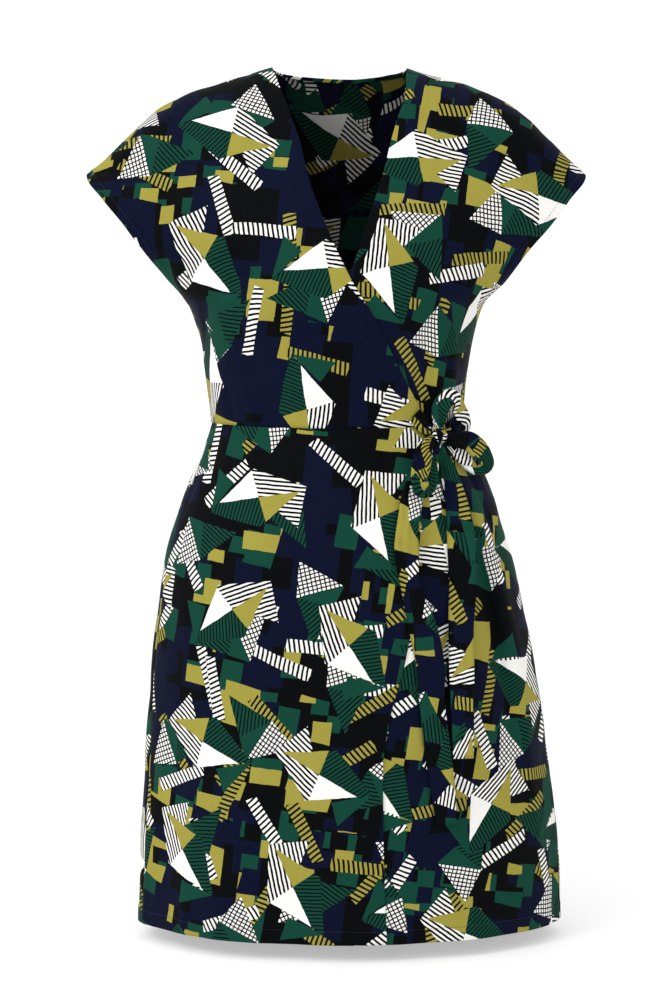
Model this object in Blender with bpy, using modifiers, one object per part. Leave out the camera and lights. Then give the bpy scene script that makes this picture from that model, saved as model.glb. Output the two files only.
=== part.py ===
"""Wrap dress, filled out as if worn: cap sleeves cut in one with the bodice, a V neck where
the right front crosses over the left one, an A-line wrap skirt, and a tie bow at the left waist.

Metres, +Z up.  The front faces -Y and the wearer's right is at -X.  The origin is midway
between the high shoulder points, where the wearer holds the dress up.
"""
import math
from collections import namedtuple

import bmesh
import bpy
from mathutils import Vector

CLOTH = 0.0012                 # wall of the cloth
SEAM_GAP = 0.0006              # between two pieces sewn together
WRAP_GAP = 0.0026              # from the under front's middle surface to the over front's
WRAP_FROM, WRAP_TO = -0.06, 0.03   # the under front sinks left of this, the over front rises right of it

NECK_X = 0.0745                # high shoulder points
NECK_DROP = 0.006              # of the back neckline
TIP_Z = -0.1155                # outer end of the shoulder seam
UNDERARM_Z = -0.262
WAIST_Z = -0.391
WAIST_DIP = 0.003              # of the waist seam at the centre front
HEM_Z = -0.952
SECTION_POWER = 2.2            # 2 would make the body's sections ellipses
FLATTER_RIGHT, FLATTER_LEFT = 0.25, 0.30      # how much depth the hem's front loses at its sides
WAIST_REACH = 0.14             # from the centre front to where the waist's dip ends
SEAM_SWING_RIGHT, SEAM_SWING_LEFT = 13, 2     # degrees that a side seam swings to the front
SEAM_SWING_DROP = 0.16         # height over which it does
ROLL, TIP_ROLL = 0.05, 0.02    # height over which the cloth rolls across the shoulder, at neck and tip
SLEEVE_RIM = 0.050             # half the depth of a sleeve's opening
TIP_SHARE = 0.03               # keeps the opening's top end from closing flat
SLEEVE_BLEND = 0.05            # height over which the side changes from a body side to a sleeve

FRONT, BACK = -1, 1
FINE_STEP = 0.001              # for slopes

# Half widths at the wearer's right and left, and depths in front of and behind the side
# plane.  Down to the sleeve tip the widths stay at the tip's; down to the underarm they
# are the sleeve hems' places.
Ring = namedtuple("Ring", "z right left front back")
RINGS = [
    Ring(0.0000, 0.2794, 0.2727, 0.045, 0.060),
    Ring(-0.0500, 0.2794, 0.2727, 0.064, 0.081),
    Ring(-0.1155, 0.2794, 0.2727, 0.087, 0.096),
    Ring(-0.1450, 0.2590, 0.2525, 0.097, 0.100),
    Ring(-0.1710, 0.2368, 0.2322, 0.105, 0.101),
    Ring(-0.2100, 0.2070, 0.1985, 0.113, 0.100),
    Ring(-0.2350, 0.1880, 0.1822, 0.116, 0.098),
    Ring(-0.2620, 0.1664, 0.1585, 0.115, 0.096),
    Ring(-0.2990, 0.1540, 0.1480, 0.107, 0.090),
    Ring(-0.3350, 0.1490, 0.1420, 0.099, 0.084),
    Ring(-0.3910, 0.1440, 0.1370, 0.093, 0.080),
    Ring(-0.4155, 0.1506, 0.1440, 0.099, 0.088),
    Ring(-0.4600, 0.1686, 0.1666, 0.112, 0.108),
    Ring(-0.4980, 0.1830, 0.1795, 0.119, 0.122),
    Ring(-0.5555, 0.1977, 0.1960, 0.125, 0.130),
    Ring(-0.6370, 0.2088, 0.2145, 0.127, 0.131),
    Ring(-0.7235, 0.2152, 0.2288, 0.127, 0.130),
    Ring(-0.8075, 0.2204, 0.2400, 0.127, 0.130),
    Ring(-0.8635, 0.2245, 0.2462, 0.127, 0.130),
    Ring(-0.9520, 0.2280, 0.2505, 0.128, 0.131),
]

# The shoulder seam, out from the neck point.
Shoulder = namedtuple("Shoulder", "x z")
SHOULDER = [
    Shoulder(NECK_X, 0.0),
    Shoulder(0.1090, -0.0082),
    Shoulder(0.1390, -0.0176),
    Shoulder(0.1730, -0.0300),
    Shoulder(0.1955, -0.0412),
    Shoulder(0.2165, -0.0570),
    Shoulder(0.2390, -0.0795),
    Shoulder(0.2590, -0.0985),
    Shoulder(0.2794, TIP_Z),
]

# Free edges of the two fronts, neck point to hem.  right is the over front's edge and
# left is the under front's, which the over front hides below the crossing.
Edge = namedtuple("Edge", "z right left")
EDGES = [
    Edge(0.000, -NECK_X, NECK_X),
    Edge(-0.030, -0.0635, 0.0725),
    Edge(-0.062, -0.0515, 0.0625),
    Edge(-0.085, -0.0433, 0.0560),
    Edge(-0.120, -0.0352, 0.0475),
    Edge(-0.173, -0.0165, 0.0300),
    Edge(-0.231, 0.0100, 0.0103),
    Edge(-0.269, 0.0330, -0.0120),
    Edge(-0.333, 0.0655, -0.0450),
    Edge(WAIST_Z, 0.0905, -0.0720),
    Edge(-0.470, 0.0870, -0.0700),
    Edge(-0.560, 0.0825, -0.0680),
    Edge(-0.637, 0.0706, -0.0640),
    Edge(-0.710, 0.0520, -0.0600),
    Edge(-0.760, 0.0458, -0.0580),
    Edge(-0.860, 0.0470, -0.0560),
    Edge(HEM_Z, 0.0500, -0.0550),
]

# Largest folds of the skirt, as ridges (height over 0) and troughs.  Angles run from the
# wearer's left side at 0 over the centre front at 90 to the right side at 180.
SkirtFold = namedtuple("SkirtFold", "top bottom top_angle bottom_angle width height")
SKIRT_FOLDS = [
    SkirtFold(-0.41, -0.74, 46, 36, 6, -0.0050),
    SkirtFold(-0.41, -0.80, 36, 24, 7, 0.0045),
    SkirtFold(-0.45, -0.96, 52, 56, 8, 0.0030),
    SkirtFold(-0.60, -1.00, 16, 12, 8, -0.0040),
    SkirtFold(-0.52, -1.00, 146, 150, 9, -0.0035),
    SkirtFold(-0.60, -1.00, 124, 122, 12, 0.0040),
    SkirtFold(-0.66, -1.00, 104, 102, 8, -0.0030),
    SkirtFold(-0.50, -1.00, 216, 212, 12, 0.0050),
    SkirtFold(-0.44, -0.98, 244, 240, 9, -0.0045),
    SkirtFold(-0.56, -1.00, 272, 274, 12, 0.0045),
    SkirtFold(-0.46, -0.98, 300, 304, 10, -0.0050),
    SkirtFold(-0.60, -1.00, 328, 330, 11, 0.0040),
]

# Drapes of the bodice: soft lines from one point to another, pulled by the tie.
BodiceFold = namedtuple("BodiceFold", "side x0 z0 x1 z1 width height")
BODICE_FOLDS = [
    BodiceFold(FRONT, 0.104, -0.385, 0.126, -0.275, 0.010, 0.0040),
    BodiceFold(FRONT, 0.088, -0.380, 0.100, -0.260, 0.010, -0.0035),
    BodiceFold(FRONT, 0.020, -0.385, -0.080, -0.330, 0.013, 0.0030),
    BodiceFold(FRONT, -0.060, -0.385, -0.120, -0.270, 0.013, -0.0030),
    BodiceFold(BACK, 0.060, -0.385, 0.110, -0.250, 0.016, 0.0040),
    BodiceFold(BACK, -0.065, -0.385, -0.115, -0.245, 0.015, 0.0040),
    BodiceFold(BACK, 0.000, -0.385, 0.010, -0.270, 0.018, -0.0035),
]

# Centre lines of the tie's ribbons, each from the knot outward and a loop's back to it:
# place seen from the front, distance off the dress's surface, width, and the turn of the
# ribbon's face about its own line in degrees.
Fold = namedtuple("Fold", "x z off width turn")
RIBBONS = {
    "tie_strap_front": [
        Fold(0.0915, -0.3930, 0.0080, 0.014, 0),
        Fold(0.0865, -0.3860, 0.0042, 0.017, 0),
        Fold(0.0805, -0.3800, 0.0030, 0.018, 0),
    ],
    "tie_strap_side": [
        Fold(0.1210, -0.3965, 0.0062, 0.017, 0),
        Fold(0.1290, -0.3930, 0.0040, 0.022, 0),
        Fold(0.1355, -0.3915, 0.0022, 0.024, 0),
    ],
    "bow_loop_upper": [
        Fold(0.1080, -0.3810, 0.0170, 0.020, 40),
        Fold(0.1105, -0.3690, 0.0180, 0.025, 50),
        Fold(0.1175, -0.3610, 0.0190, 0.026, 55),
        Fold(0.1265, -0.3660, 0.0190, 0.026, 50),
        Fold(0.1330, -0.3800, 0.0180, 0.025, 45),
        Fold(0.1350, -0.3930, 0.0170, 0.021, 40),
        Fold(0.1265, -0.3985, 0.0165, 0.015, 30),
    ],
    "bow_loop_side": [
        Fold(0.1275, -0.4065, 0.0210, 0.017, 5),
        Fold(0.1420, -0.4090, 0.0250, 0.021, 15),
        Fold(0.1545, -0.4220, 0.0270, 0.022, 20),
        Fold(0.1590, -0.4345, 0.0220, 0.021, 20),
        Fold(0.1500, -0.4360, 0.0150, 0.020, 10),
        Fold(0.1360, -0.4260, 0.0110, 0.018, 0),
        Fold(0.1240, -0.4150, 0.0100, 0.013, 0),
    ],
    "bow_loop_small": [
        Fold(0.0920, -0.4140, 0.0215, 0.017, 10),
        Fold(0.0875, -0.4330, 0.0220, 0.020, 15),
        Fold(0.0855, -0.4480, 0.0210, 0.019, 10),
        Fold(0.0890, -0.4590, 0.0170, 0.017, 0),
        Fold(0.0960, -0.4540, 0.0120, 0.016, 0),
        Fold(0.0995, -0.4360, 0.0105, 0.014, 0),
        Fold(0.1020, -0.4210, 0.0110, 0.011, 0),
    ],
    "tie_tail_long": [
        Fold(0.0980, -0.4215, 0.0050, 0.012, 0),
        Fold(0.0860, -0.4410, 0.0040, 0.018, 0),
        Fold(0.0780, -0.4680, 0.0044, 0.024, 10),
        Fold(0.0735, -0.4950, 0.0062, 0.023, 14),
        Fold(0.0720, -0.5230, 0.0062, 0.027, 8),
        Fold(0.0755, -0.5600, 0.0070, 0.021, -8),
        Fold(0.0900, -0.6090, 0.0070, 0.030, -3),
        Fold(0.0980, -0.6500, 0.0060, 0.030, 0),
        Fold(0.1000, -0.6900, 0.0060, 0.027, 4),
        Fold(0.1060, -0.7400, 0.0058, 0.028, 0),
        Fold(0.1120, -0.7850, 0.0060, 0.026, -5),
        Fold(0.1160, -0.8230, 0.0062, 0.022, -8),
    ],
    "tie_tail_short": [
        Fold(0.1120, -0.4200, 0.0080, 0.013, 0),
        Fold(0.1190, -0.4460, 0.0070, 0.020, 0),
        Fold(0.1280, -0.4820, 0.0080, 0.026, 10),
        Fold(0.1320, -0.5200, 0.0085, 0.031, 0),
        Fold(0.1330, -0.5600, 0.0085, 0.030, -12),
        Fold(0.1310, -0.6100, 0.0090, 0.027, 0),
        Fold(0.1320, -0.6600, 0.0112, 0.027, 5),
        Fold(0.1330, -0.7050, 0.0122, 0.024, 0),
        Fold(0.1340, -0.7500, 0.0122, 0.022, 0),
    ],
}
LOOPS = ("bow_loop_upper", "bow_loop_side", "bow_loop_small")
KNOT_X, KNOT_Z, KNOT_OFF = 0.1075, -0.4020, 0.0125
KNOT_SIZE = Vector((0.0085, 0.0075, 0.0085))   # half sizes
KNOT_END_WIDTH = 0.009         # of a ribbon where it goes into the knot

FACING_WALL = 0.0008
FACING_END = -0.205            # just above the crossing

BODY_COLUMNS = 14
BACK_COLUMNS = 20
NECK_COLUMNS = 3               # of each half of the back, across the neckline
RIBBON_COLUMNS = 3

# Rows of the bodice, from the shoulder at 0 to the waist at 1.  The first ones follow the
# roll over the shoulder by its angle; one lies at the underarm, and one close to the waist.
ROLL_SHARE = 0.13
UNDERARM_SHARE = 0.62
ROLL_ANGLES = (0, 12, 28, 46, 66, 90)
SLEEVE_STEPS = 5
SIDE_STEPS = 5
NEAR_SEAM = 0.014
EVEN_SPACING, ARC_SPACING = 0.2, 0.7   # share of closer columns at the side, at the top and added below

# Rows of the skirt, from the waist at 0 to the hem at 1, closer together over the hips.
FIRST_SKIRT_ROW = 0.009
SKIRT_STEPS = 12
SKIRT_SPACING = 1.25
HALF_DEGREE = 0.5

NAVY = (0.010, 0.012, 0.035, 1.0)
GREEN = (0.010, 0.075, 0.045, 1.0)
MUSTARD = (0.35, 0.32, 0.05, 1.0)


def smoothstep(value):
    value = min(1.0, max(0.0, value))
    return value * value * (3 - 2 * value)


def mix(a, b, share):
    return a + (b - a) * share


def read(table, key, column, place):
    """A column's value at a place, on a smooth curve that never overshoots the rows."""
    keys = [getattr(row, key) for row in table]
    values = [getattr(row, column) for row in table]
    if keys[0] > keys[-1]:
        keys, values = keys[::-1], values[::-1]
    if place <= keys[0]:
        return values[0]
    if place >= keys[-1]:
        return values[-1]
    last = len(keys) - 1
    slopes = [(values[i + 1] - values[i]) / (keys[i + 1] - keys[i]) for i in range(last)]

    def tangent(i):
        if i == 0 or i == last:
            return slopes[0] if i == 0 else slopes[-1]
        before, after = slopes[i - 1], slopes[i]
        return 0.0 if before * after <= 0 else 2 * before * after / (before + after)

    i = max(i for i in range(last) if keys[i] <= place)
    span = keys[i + 1] - keys[i]
    t = (place - keys[i]) / span
    return (
        (1 + 2 * t) * (1 - t) ** 2 * values[i] + t * (1 - t) ** 2 * span * tangent(i)
        + t * t * (3 - 2 * t) * values[i + 1] - t * t * (1 - t) * span * tangent(i + 1)
    )


def half_width(x, z):
    return read(RINGS, "z", "left" if x > 0 else "right", z)


def shoulder_z(x):
    """The seam's table is the right side's; the left side's tip is a little nearer."""
    if abs(x) <= NECK_X:
        return 0.0
    stretch = (SHOULDER[-1].x - NECK_X) / (half_width(x, TIP_Z) - NECK_X)
    return read(SHOULDER, "x", "z", NECK_X + (abs(x) - NECK_X) * stretch)


def waist_z(side, x):
    dip = WAIST_DIP * (1 - (x / WAIST_REACH) ** 2) if side == FRONT else 0.0
    return WAIST_Z - max(0.0, dip)


def depth(side, x, z):
    """Distance of the front or the back from the side plane."""
    full = read(RINGS, "z", "front" if side == FRONT else "back", z)
    reach = min(1.0, abs(x) / half_width(x, z))
    sleeve = smoothstep((z - UNDERARM_Z) / SLEEVE_BLEND)
    rim = 0.0
    if z > UNDERARM_Z:
        down_hem = max(0.0, (TIP_Z - z) / (TIP_Z - UNDERARM_Z))
        rim = SLEEVE_RIM * math.sin(math.pi * mix(TIP_SHARE, 1.0, down_hem)) ** 0.8
    arch = (1 - reach ** SECTION_POWER) ** mix(1 / SECTION_POWER, 1.0, sleeve)
    out = max(0.0, (abs(x) - NECK_X) / (half_width(x, TIP_Z) - NECK_X))
    rolled = max(0.0, shoulder_z(x) - z) / mix(ROLL, TIP_ROLL, out) + max(0.0, 1 - abs(x) / NECK_X)
    roll = math.sqrt(1 - (1 - min(1.0, rolled)) ** 2)
    return (rim + (full - rim) * arch) * roll


def bodice_fold(side, x, z):
    total = 0.0
    for fold in BODICE_FOLDS:
        if fold.side != side:
            continue
        along = Vector((fold.x1 - fold.x0, fold.z1 - fold.z0))
        to_point = Vector((x - fold.x0, z - fold.z0))
        share = to_point.dot(along) / along.length_squared
        if not 0 < share < 1:
            continue
        across = (to_point - along * share).length / fold.width
        total += fold.height * math.sin(math.pi * share) * math.exp(-across * across)
    return total


def wrap_lift(layer, x):
    """Keeps the over front and the under front apart where they cross."""
    rise = smoothstep((x - WRAP_FROM) / (WRAP_TO - WRAP_FROM))
    return WRAP_GAP * {"over": rise, "under": rise - 1, "none": 0.0}[layer]


def bodice_point(side, x, z, layer="none", extra=0.0):
    """A point of the bodice's middle surface, with its drapes, pushed out by extra."""
    base = depth(side, x, z)
    lift = wrap_lift(layer, x) + bodice_fold(side, x, z) + extra
    if lift == 0.0:
        return Vector((x, side * base, z))
    slope_x = (depth(side, x + FINE_STEP, z) - depth(side, x - FINE_STEP, z)) / (2 * FINE_STEP)
    slope_z = (depth(side, x, z + FINE_STEP) - depth(side, x, z - FINE_STEP)) / (2 * FINE_STEP)
    outward = Vector((-slope_x, side, -slope_z)).normalized()
    return Vector((x, side * base, z)) + outward * lift


def bodice_shares():
    """Row places from the shoulder (0) to the waist (1)."""
    shares = [ROLL_SHARE * (1 - math.cos(math.radians(angle))) for angle in ROLL_ANGLES]
    for step in range(SLEEVE_STEPS):
        shares.append(mix(ROLL_SHARE, UNDERARM_SHARE, (step + 1) / SLEEVE_STEPS))
    for step in range(SIDE_STEPS - 1):
        shares.append(mix(UNDERARM_SHARE, 1.0, (step + 1) / SIDE_STEPS))
    return shares + [1.0 - NEAR_SEAM, 1.0]


def outer_z(share):
    """Height of the outer edge: down the sleeve hem, then down the side seam."""
    if share <= UNDERARM_SHARE:
        return mix(TIP_Z, UNDERARM_Z, share / UNDERARM_SHARE)
    return mix(UNDERARM_Z, WAIST_Z, (share - UNDERARM_SHARE) / (1 - UNDERARM_SHARE))


def bodice_row(side, inner_x, inner_z, hand, share, columns):
    """Places (x, z) of one row from its inner edge to the sleeve hem or side seam."""
    end_z = outer_z(share)
    end_x = hand * half_width(hand, end_z)
    tip_x = hand * half_width(hand, TIP_Z)
    closer = EVEN_SPACING + ARC_SPACING * smoothstep(share / UNDERARM_SHARE)
    places = []
    for column in range(columns + 1):
        even = column / columns
        reach = mix(even, math.sin(even * math.pi / 2), closer)
        x = mix(inner_x, end_x, reach)
        z = mix(inner_z, end_z, reach)
        top_x = mix(hand * NECK_X, tip_x, reach)
        z += (shoulder_z(top_x) - reach * TIP_Z) * max(0.0, 1 - share / UNDERARM_SHARE) ** 2
        z += (waist_z(side, x) - WAIST_Z) * smoothstep((share - UNDERARM_SHARE) / (1 - UNDERARM_SHARE))
        places.append((x, z))
    return places


def front_grid(hand, layer, column_name):
    grid = []
    for share in bodice_shares():
        inner_z = share * WAIST_Z
        inner_x = read(EDGES, "z", column_name, inner_z)
        row = bodice_row(FRONT, inner_x, inner_z, hand, share, BODY_COLUMNS)
        grid.append([bodice_point(FRONT, x, z, layer) for x, z in row])
    return grid


def back_half_row(hand, share):
    """The back's row from its centre to one side; its top follows the neckline, then the shoulder."""
    end_z = outer_z(share)
    end_x = hand * half_width(hand, end_z)
    tip_x = hand * half_width(hand, TIP_Z)
    centre_z = mix(-NECK_DROP, WAIST_Z, share)
    half = BACK_COLUMNS // 2
    row = []
    for column in range(half + 1):
        if column <= NECK_COLUMNS:
            top_x = NECK_X * math.sin(math.pi / 2 * column / NECK_COLUMNS)
            top_z = -NECK_DROP * (1 - (top_x / NECK_X) ** 2)
        else:
            top_x = mix(NECK_X, abs(tip_x), (column - NECK_COLUMNS) / (half - NECK_COLUMNS))
            top_z = shoulder_z(hand * top_x)
        even = top_x / abs(tip_x)
        low = math.sin(column / half * math.pi / 2)
        reach = mix(even, low, smoothstep(share / UNDERARM_SHARE))
        x = end_x * reach
        z = mix(centre_z, end_z, reach)
        fade = max(0.0, 1 - share / UNDERARM_SHARE) ** 2
        z += (top_z - mix(-NECK_DROP, TIP_Z, even)) * fade
        row.append(bodice_point(BACK, x, z))
    return row


def back_grid():
    grid = []
    for share in bodice_shares():
        right, left = back_half_row(-1, share), back_half_row(1, share)
        grid.append(right[::-1] + left[1:])
    return grid


def skirt_fold(angle, z):
    total = 0.0
    for fold in SKIRT_FOLDS:
        share = (fold.top - z) / (fold.top - fold.bottom)
        if not 0 < share < 1:
            continue
        across = (angle - mix(fold.top_angle, fold.bottom_angle, share)) / fold.width
        hem_share = min(1.0, (fold.top - z) / (fold.top - HEM_Z)) if fold.bottom < HEM_Z else 0.0
        swell = smoothstep(hem_share) if fold.bottom < HEM_Z else math.sin(math.pi * share)
        total += fold.height * swell * math.exp(-across * across)
    return total


def front_fullness(reach, hand, z):
    """The skirt's front grows flatter towards its sides as it nears the hem."""
    flatter = FLATTER_LEFT if hand > 0 else FLATTER_RIGHT
    return 1 - flatter * reach ** 2 * smoothstep((WAIST_Z - z) / (WAIST_Z - HEM_Z))


def ring_point(angle, z):
    """A point of the skirt without folds or wrap: angle 0 is the wearer's left, 90 the front."""
    turn = math.radians(angle)
    cos, sin = math.cos(turn), math.sin(turn)
    side = "front" if sin >= 0 else "back"
    power = 2 / SECTION_POWER
    reach = abs(cos) ** power
    x = math.copysign(reach, cos) * half_width(cos, z)
    y = -math.copysign(abs(sin) ** power, sin) * read(RINGS, "z", side, z)
    if side == "front":
        y *= front_fullness(reach, cos, z)
    return Vector((x, y, z))


def skirt_point(angle, z, layer="none", extra=0.0):
    base = ring_point(angle, z)
    around = ring_point(angle + HALF_DEGREE, z) - ring_point(angle - HALF_DEGREE, z)
    down = ring_point(angle, z - FINE_STEP) - ring_point(angle, z + FINE_STEP)
    outward = down.cross(around).normalized()
    if outward.dot(Vector((base.x, base.y, 0.0))) < 0:
        outward.negate()
    lift = wrap_lift(layer, base.x) if layer != "none" else 0.0
    return base + outward * (lift + skirt_fold(angle % 360, z) + extra)


def front_angle(x, z):
    """Angle of the ring point at a place on the front."""
    reach = min(1.0, abs(x) / half_width(x, z)) ** (SECTION_POWER / 2)
    return math.degrees(math.acos(math.copysign(reach, x)))


def right_seam_angle(z):
    """The right side seam swings forward below the waist."""
    return 180 - SEAM_SWING_RIGHT * smoothstep((WAIST_Z - z) / SEAM_SWING_DROP)


def left_seam_angle(z):
    return SEAM_SWING_LEFT * smoothstep((WAIST_Z - z) / SEAM_SWING_DROP)


def skirt_heights():
    shares = [0.0, FIRST_SKIRT_ROW]
    for step in range(SKIRT_STEPS):
        even = (step + 1) / SKIRT_STEPS
        shares.append(mix(FIRST_SKIRT_ROW, 1.0, even ** SKIRT_SPACING))
    return shares


def skirt_grid(start, stop, columns, layer, side):
    """Rows from the waist seam to the hem between two angles, each a function of height."""
    grid = []
    for share in skirt_heights():
        row = []
        for column in range(columns + 1):
            even = column / columns
            level = mix(WAIST_Z, HEM_Z, share)
            angle = mix(start(level), stop(level), even)
            x = ring_point(angle, level).x
            z = mix(waist_z(side, x), HEM_Z, share)
            row.append(skirt_point(angle, z, layer))
        grid.append(row)
    return grid


def pull_in(grid, top=False, bottom=False, first=False, last=False, first_from=0, last_from=0):
    """Moves the sewn edges back by half the seam's gap."""
    half_gap = SEAM_GAP / 2

    def nearer(point, inner):
        return point + (inner - point).normalized() * half_gap

    if top:
        grid[0] = [nearer(a, b) for a, b in zip(grid[0], grid[1])]
    if bottom:
        grid[-1] = [nearer(a, b) for a, b in zip(grid[-1], grid[-2])]
    for number, row in enumerate(grid):
        if first and number >= first_from:
            row[0] = nearer(row[0], row[1])
        if last and number >= last_from:
            row[-1] = nearer(row[-1], row[-2])
    return grid


def material(name, colour):
    made = bpy.data.materials.new(name)
    made.use_nodes = True
    shader = made.node_tree.nodes["Principled BSDF"]
    shader.inputs["Base Color"].default_value = colour
    shader.inputs["Roughness"].default_value = 0.75
    return made


def keep(name, mesh, colour, collection):
    obj = bpy.data.objects.new(name, mesh)
    mesh.materials.append(material(name + "_cloth", colour))
    collection.objects.link(obj)
    return obj


def sheet(name, grid, colour, collection, wall=CLOTH):
    """An open surface through the grid's points, given its thickness by Solidify."""
    bm = bmesh.new()
    rows = [[bm.verts.new(point) for point in row] for row in grid]
    for upper, lower in zip(rows, rows[1:]):
        for i in range(len(upper) - 1):
            bm.faces.new((upper[i], upper[i + 1], lower[i + 1], lower[i]))
    mesh = bpy.data.meshes.new(name)
    bm.to_mesh(mesh)
    bm.free()
    obj = keep(name, mesh, colour, collection)
    thicken = obj.modifiers.new("cloth", "SOLIDIFY")
    thicken.thickness = wall
    thicken.offset = 0.0
    return obj


def off_dress(x, z, off):
    """A point off the over front, or off where it would reach, pushed out by off."""
    if z > WAIST_Z:
        return bodice_point(FRONT, x, z, "over", off)
    return skirt_point(front_angle(x, z), z, "over", off)


def ribbon_surface(x, z, off):
    """The point off the dress that is seen at (x, z) from the front."""
    base_x, base_z = x, z
    for _ in range(4):
        point = off_dress(base_x, base_z, off)
        base_x += x - point.x
        base_z += z - point.z
    return off_dress(base_x, base_z, off)


def knot_centre():
    return ribbon_surface(KNOT_X, KNOT_Z, KNOT_OFF)


def at_knot(towards):
    """Where a ribbon that comes from a point meets the knot, a seam's gap off its surface."""
    direction = (towards - knot_centre()).normalized()
    scaled = Vector([part / half for part, half in zip(direction, KNOT_SIZE)])
    return knot_centre() + direction * (1 / scaled.length + SEAM_GAP)


def ribbon_grid(name):
    """Crosswise rows of a ribbon along its centre line, each turned about that line."""
    rows = list(RIBBONS[name])
    centres = [ribbon_surface(row.x, row.z, row.off) for row in rows]
    ends = [0, len(rows) - 1] if name in LOOPS else [0]
    for end in ends:
        seat, row = at_knot(centres[end]), rows[end]
        place = 0 if end == 0 else len(centres)
        centres.insert(place, seat)
        rows.insert(place, Fold(seat.x, seat.z, row.off, KNOT_END_WIDTH, row.turn / 2))
        ends[-1] += 1
    grid = []
    for number, row in enumerate(rows):
        before = centres[max(0, number - 1)]
        after = centres[min(len(rows) - 1, number + 1)]
        along = (after - before).normalized()
        outward = ribbon_surface(row.x, row.z, row.off + CLOTH) - ribbon_surface(row.x, row.z, row.off)
        across = along.cross(outward).normalized()
        face = across.cross(along).normalized()
        turn = math.radians(row.turn)
        spread = across * math.cos(turn) + face * math.sin(turn)
        line = []
        for column in range(RIBBON_COLUMNS + 1):
            place = column / RIBBON_COLUMNS - 0.5
            line.append(centres[number] + spread * place * row.width)
        grid.append(line)
    return grid


def facing_grid(front):
    """A band of the front's own first columns, moved in, down to just above the crossing."""
    inside = CLOTH / 2 + SEAM_GAP + FACING_WALL / 2
    grid = []
    for number in range(1, len(front) - 1):
        if front[number][0].z < FACING_END:
            break
        down = front[number + 1][0] - front[number - 1][0]
        across = front[number][1] - front[number][0]
        outward = down.cross(across).normalized()
        if outward.y > 0:
            outward.negate()
        edge, second = front[number][0], front[number][1]
        start = edge + across.normalized() * CLOTH
        grid.append([start - outward * inside, second - outward * inside])
    return grid


def knot(collection):
    """The tie's knot, a small rounded lump with its long way across."""
    bm = bmesh.new()
    bmesh.ops.create_uvsphere(bm, u_segments=14, v_segments=8, radius=1.0)
    bmesh.ops.scale(bm, vec=KNOT_SIZE, verts=bm.verts)
    mesh = bpy.data.meshes.new("bow_knot")
    bm.to_mesh(mesh)
    bm.free()
    mesh.shade_smooth()
    obj = keep("bow_knot", mesh, MUSTARD, collection)
    obj.location = knot_centre()
    return obj


def bodice(collection):
    underarm_row = len(ROLL_ANGLES) + SLEEVE_STEPS - 1
    right = pull_in(front_grid(-1, "over", "right"), top=True, bottom=True, last=True, last_from=underarm_row)
    left = pull_in(front_grid(1, "under", "left"), top=True, bottom=True, last=True, last_from=underarm_row)
    back = pull_in(
        back_grid(), top=True, bottom=True,
        first=True, last=True, first_from=underarm_row, last_from=underarm_row,
    )
    sheet("bodice_front_right", right, NAVY, collection)
    sheet("bodice_front_left", left, GREEN, collection)
    sheet("bodice_back", back, NAVY, collection)
    sheet("neck_facing_right", facing_grid(right), GREEN, collection, FACING_WALL)
    sheet("neck_facing_left", facing_grid(left), NAVY, collection, FACING_WALL)


def skirt(collection):
    def over_edge(z):
        return front_angle(read(EDGES, "z", "right", z), z)

    def under_edge(z):
        return front_angle(read(EDGES, "z", "left", z), z)

    def back_end(z):
        return 360 + left_seam_angle(z)

    right = skirt_grid(over_edge, right_seam_angle, BODY_COLUMNS, "over", FRONT)
    left = skirt_grid(left_seam_angle, under_edge, BODY_COLUMNS, "under", FRONT)
    back = skirt_grid(right_seam_angle, back_end, BACK_COLUMNS, "none", BACK)
    sheet("skirt_front_right", pull_in(right, top=True, last=True), GREEN, collection)
    sheet("skirt_front_left", pull_in(left, top=True, first=True), NAVY, collection)
    sheet("skirt_back", pull_in(back, top=True, first=True, last=True), GREEN, collection)


def main():
    for obj in list(bpy.data.objects):
        bpy.data.objects.remove(obj, do_unlink=True)
    collection = bpy.data.collections.new("wrap_dress")
    bpy.context.scene.collection.children.link(collection)
    bodice(collection)
    skirt(collection)
    for name in RIBBONS:
        sheet(name, ribbon_grid(name), MUSTARD, collection)
    knot(collection)


main()
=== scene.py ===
"""Looks of the wrap dress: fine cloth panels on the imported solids' forms, with their turned
hems, seams, drapes, stitches and a geometric print, and the tied bow at the left waist.

Metres, +Z up; the front faces -Y and the wearer's right is at -X.
"""
import math

import bmesh
import bpy
import numpy as np
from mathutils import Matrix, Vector


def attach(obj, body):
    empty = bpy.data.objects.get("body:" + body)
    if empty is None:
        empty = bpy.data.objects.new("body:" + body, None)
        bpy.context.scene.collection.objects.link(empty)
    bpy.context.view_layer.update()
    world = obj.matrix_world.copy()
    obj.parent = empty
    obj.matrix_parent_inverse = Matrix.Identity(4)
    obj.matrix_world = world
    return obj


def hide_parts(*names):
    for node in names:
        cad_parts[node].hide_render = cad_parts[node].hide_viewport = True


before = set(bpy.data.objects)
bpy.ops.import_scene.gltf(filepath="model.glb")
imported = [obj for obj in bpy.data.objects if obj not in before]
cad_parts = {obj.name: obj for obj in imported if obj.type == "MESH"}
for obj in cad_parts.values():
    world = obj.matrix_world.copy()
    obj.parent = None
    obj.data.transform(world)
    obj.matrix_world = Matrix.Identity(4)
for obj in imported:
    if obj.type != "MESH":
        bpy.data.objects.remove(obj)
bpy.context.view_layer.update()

# ---------------------------------------------------------------------------
# Sizes, the same as the solids'
# ---------------------------------------------------------------------------
WRAP_GAP = 0.0026
WRAP_FROM, WRAP_TO = -0.06, 0.03
NECK_X = 0.0745
NECK_DROP = 0.006
TIP_Z = -0.1155
UNDERARM_Z = -0.262
WAIST_Z = -0.391
WAIST_DIP = 0.003
HEM_Z = -0.952
SECTION_POWER = 2.2            # 2 would make the sections ellipses
FLATTER_RIGHT, FLATTER_LEFT = 0.25, 0.3        # share of the depth that the hem's front loses at its sides
ROLL, TIP_ROLL = 0.05, 0.02
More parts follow.
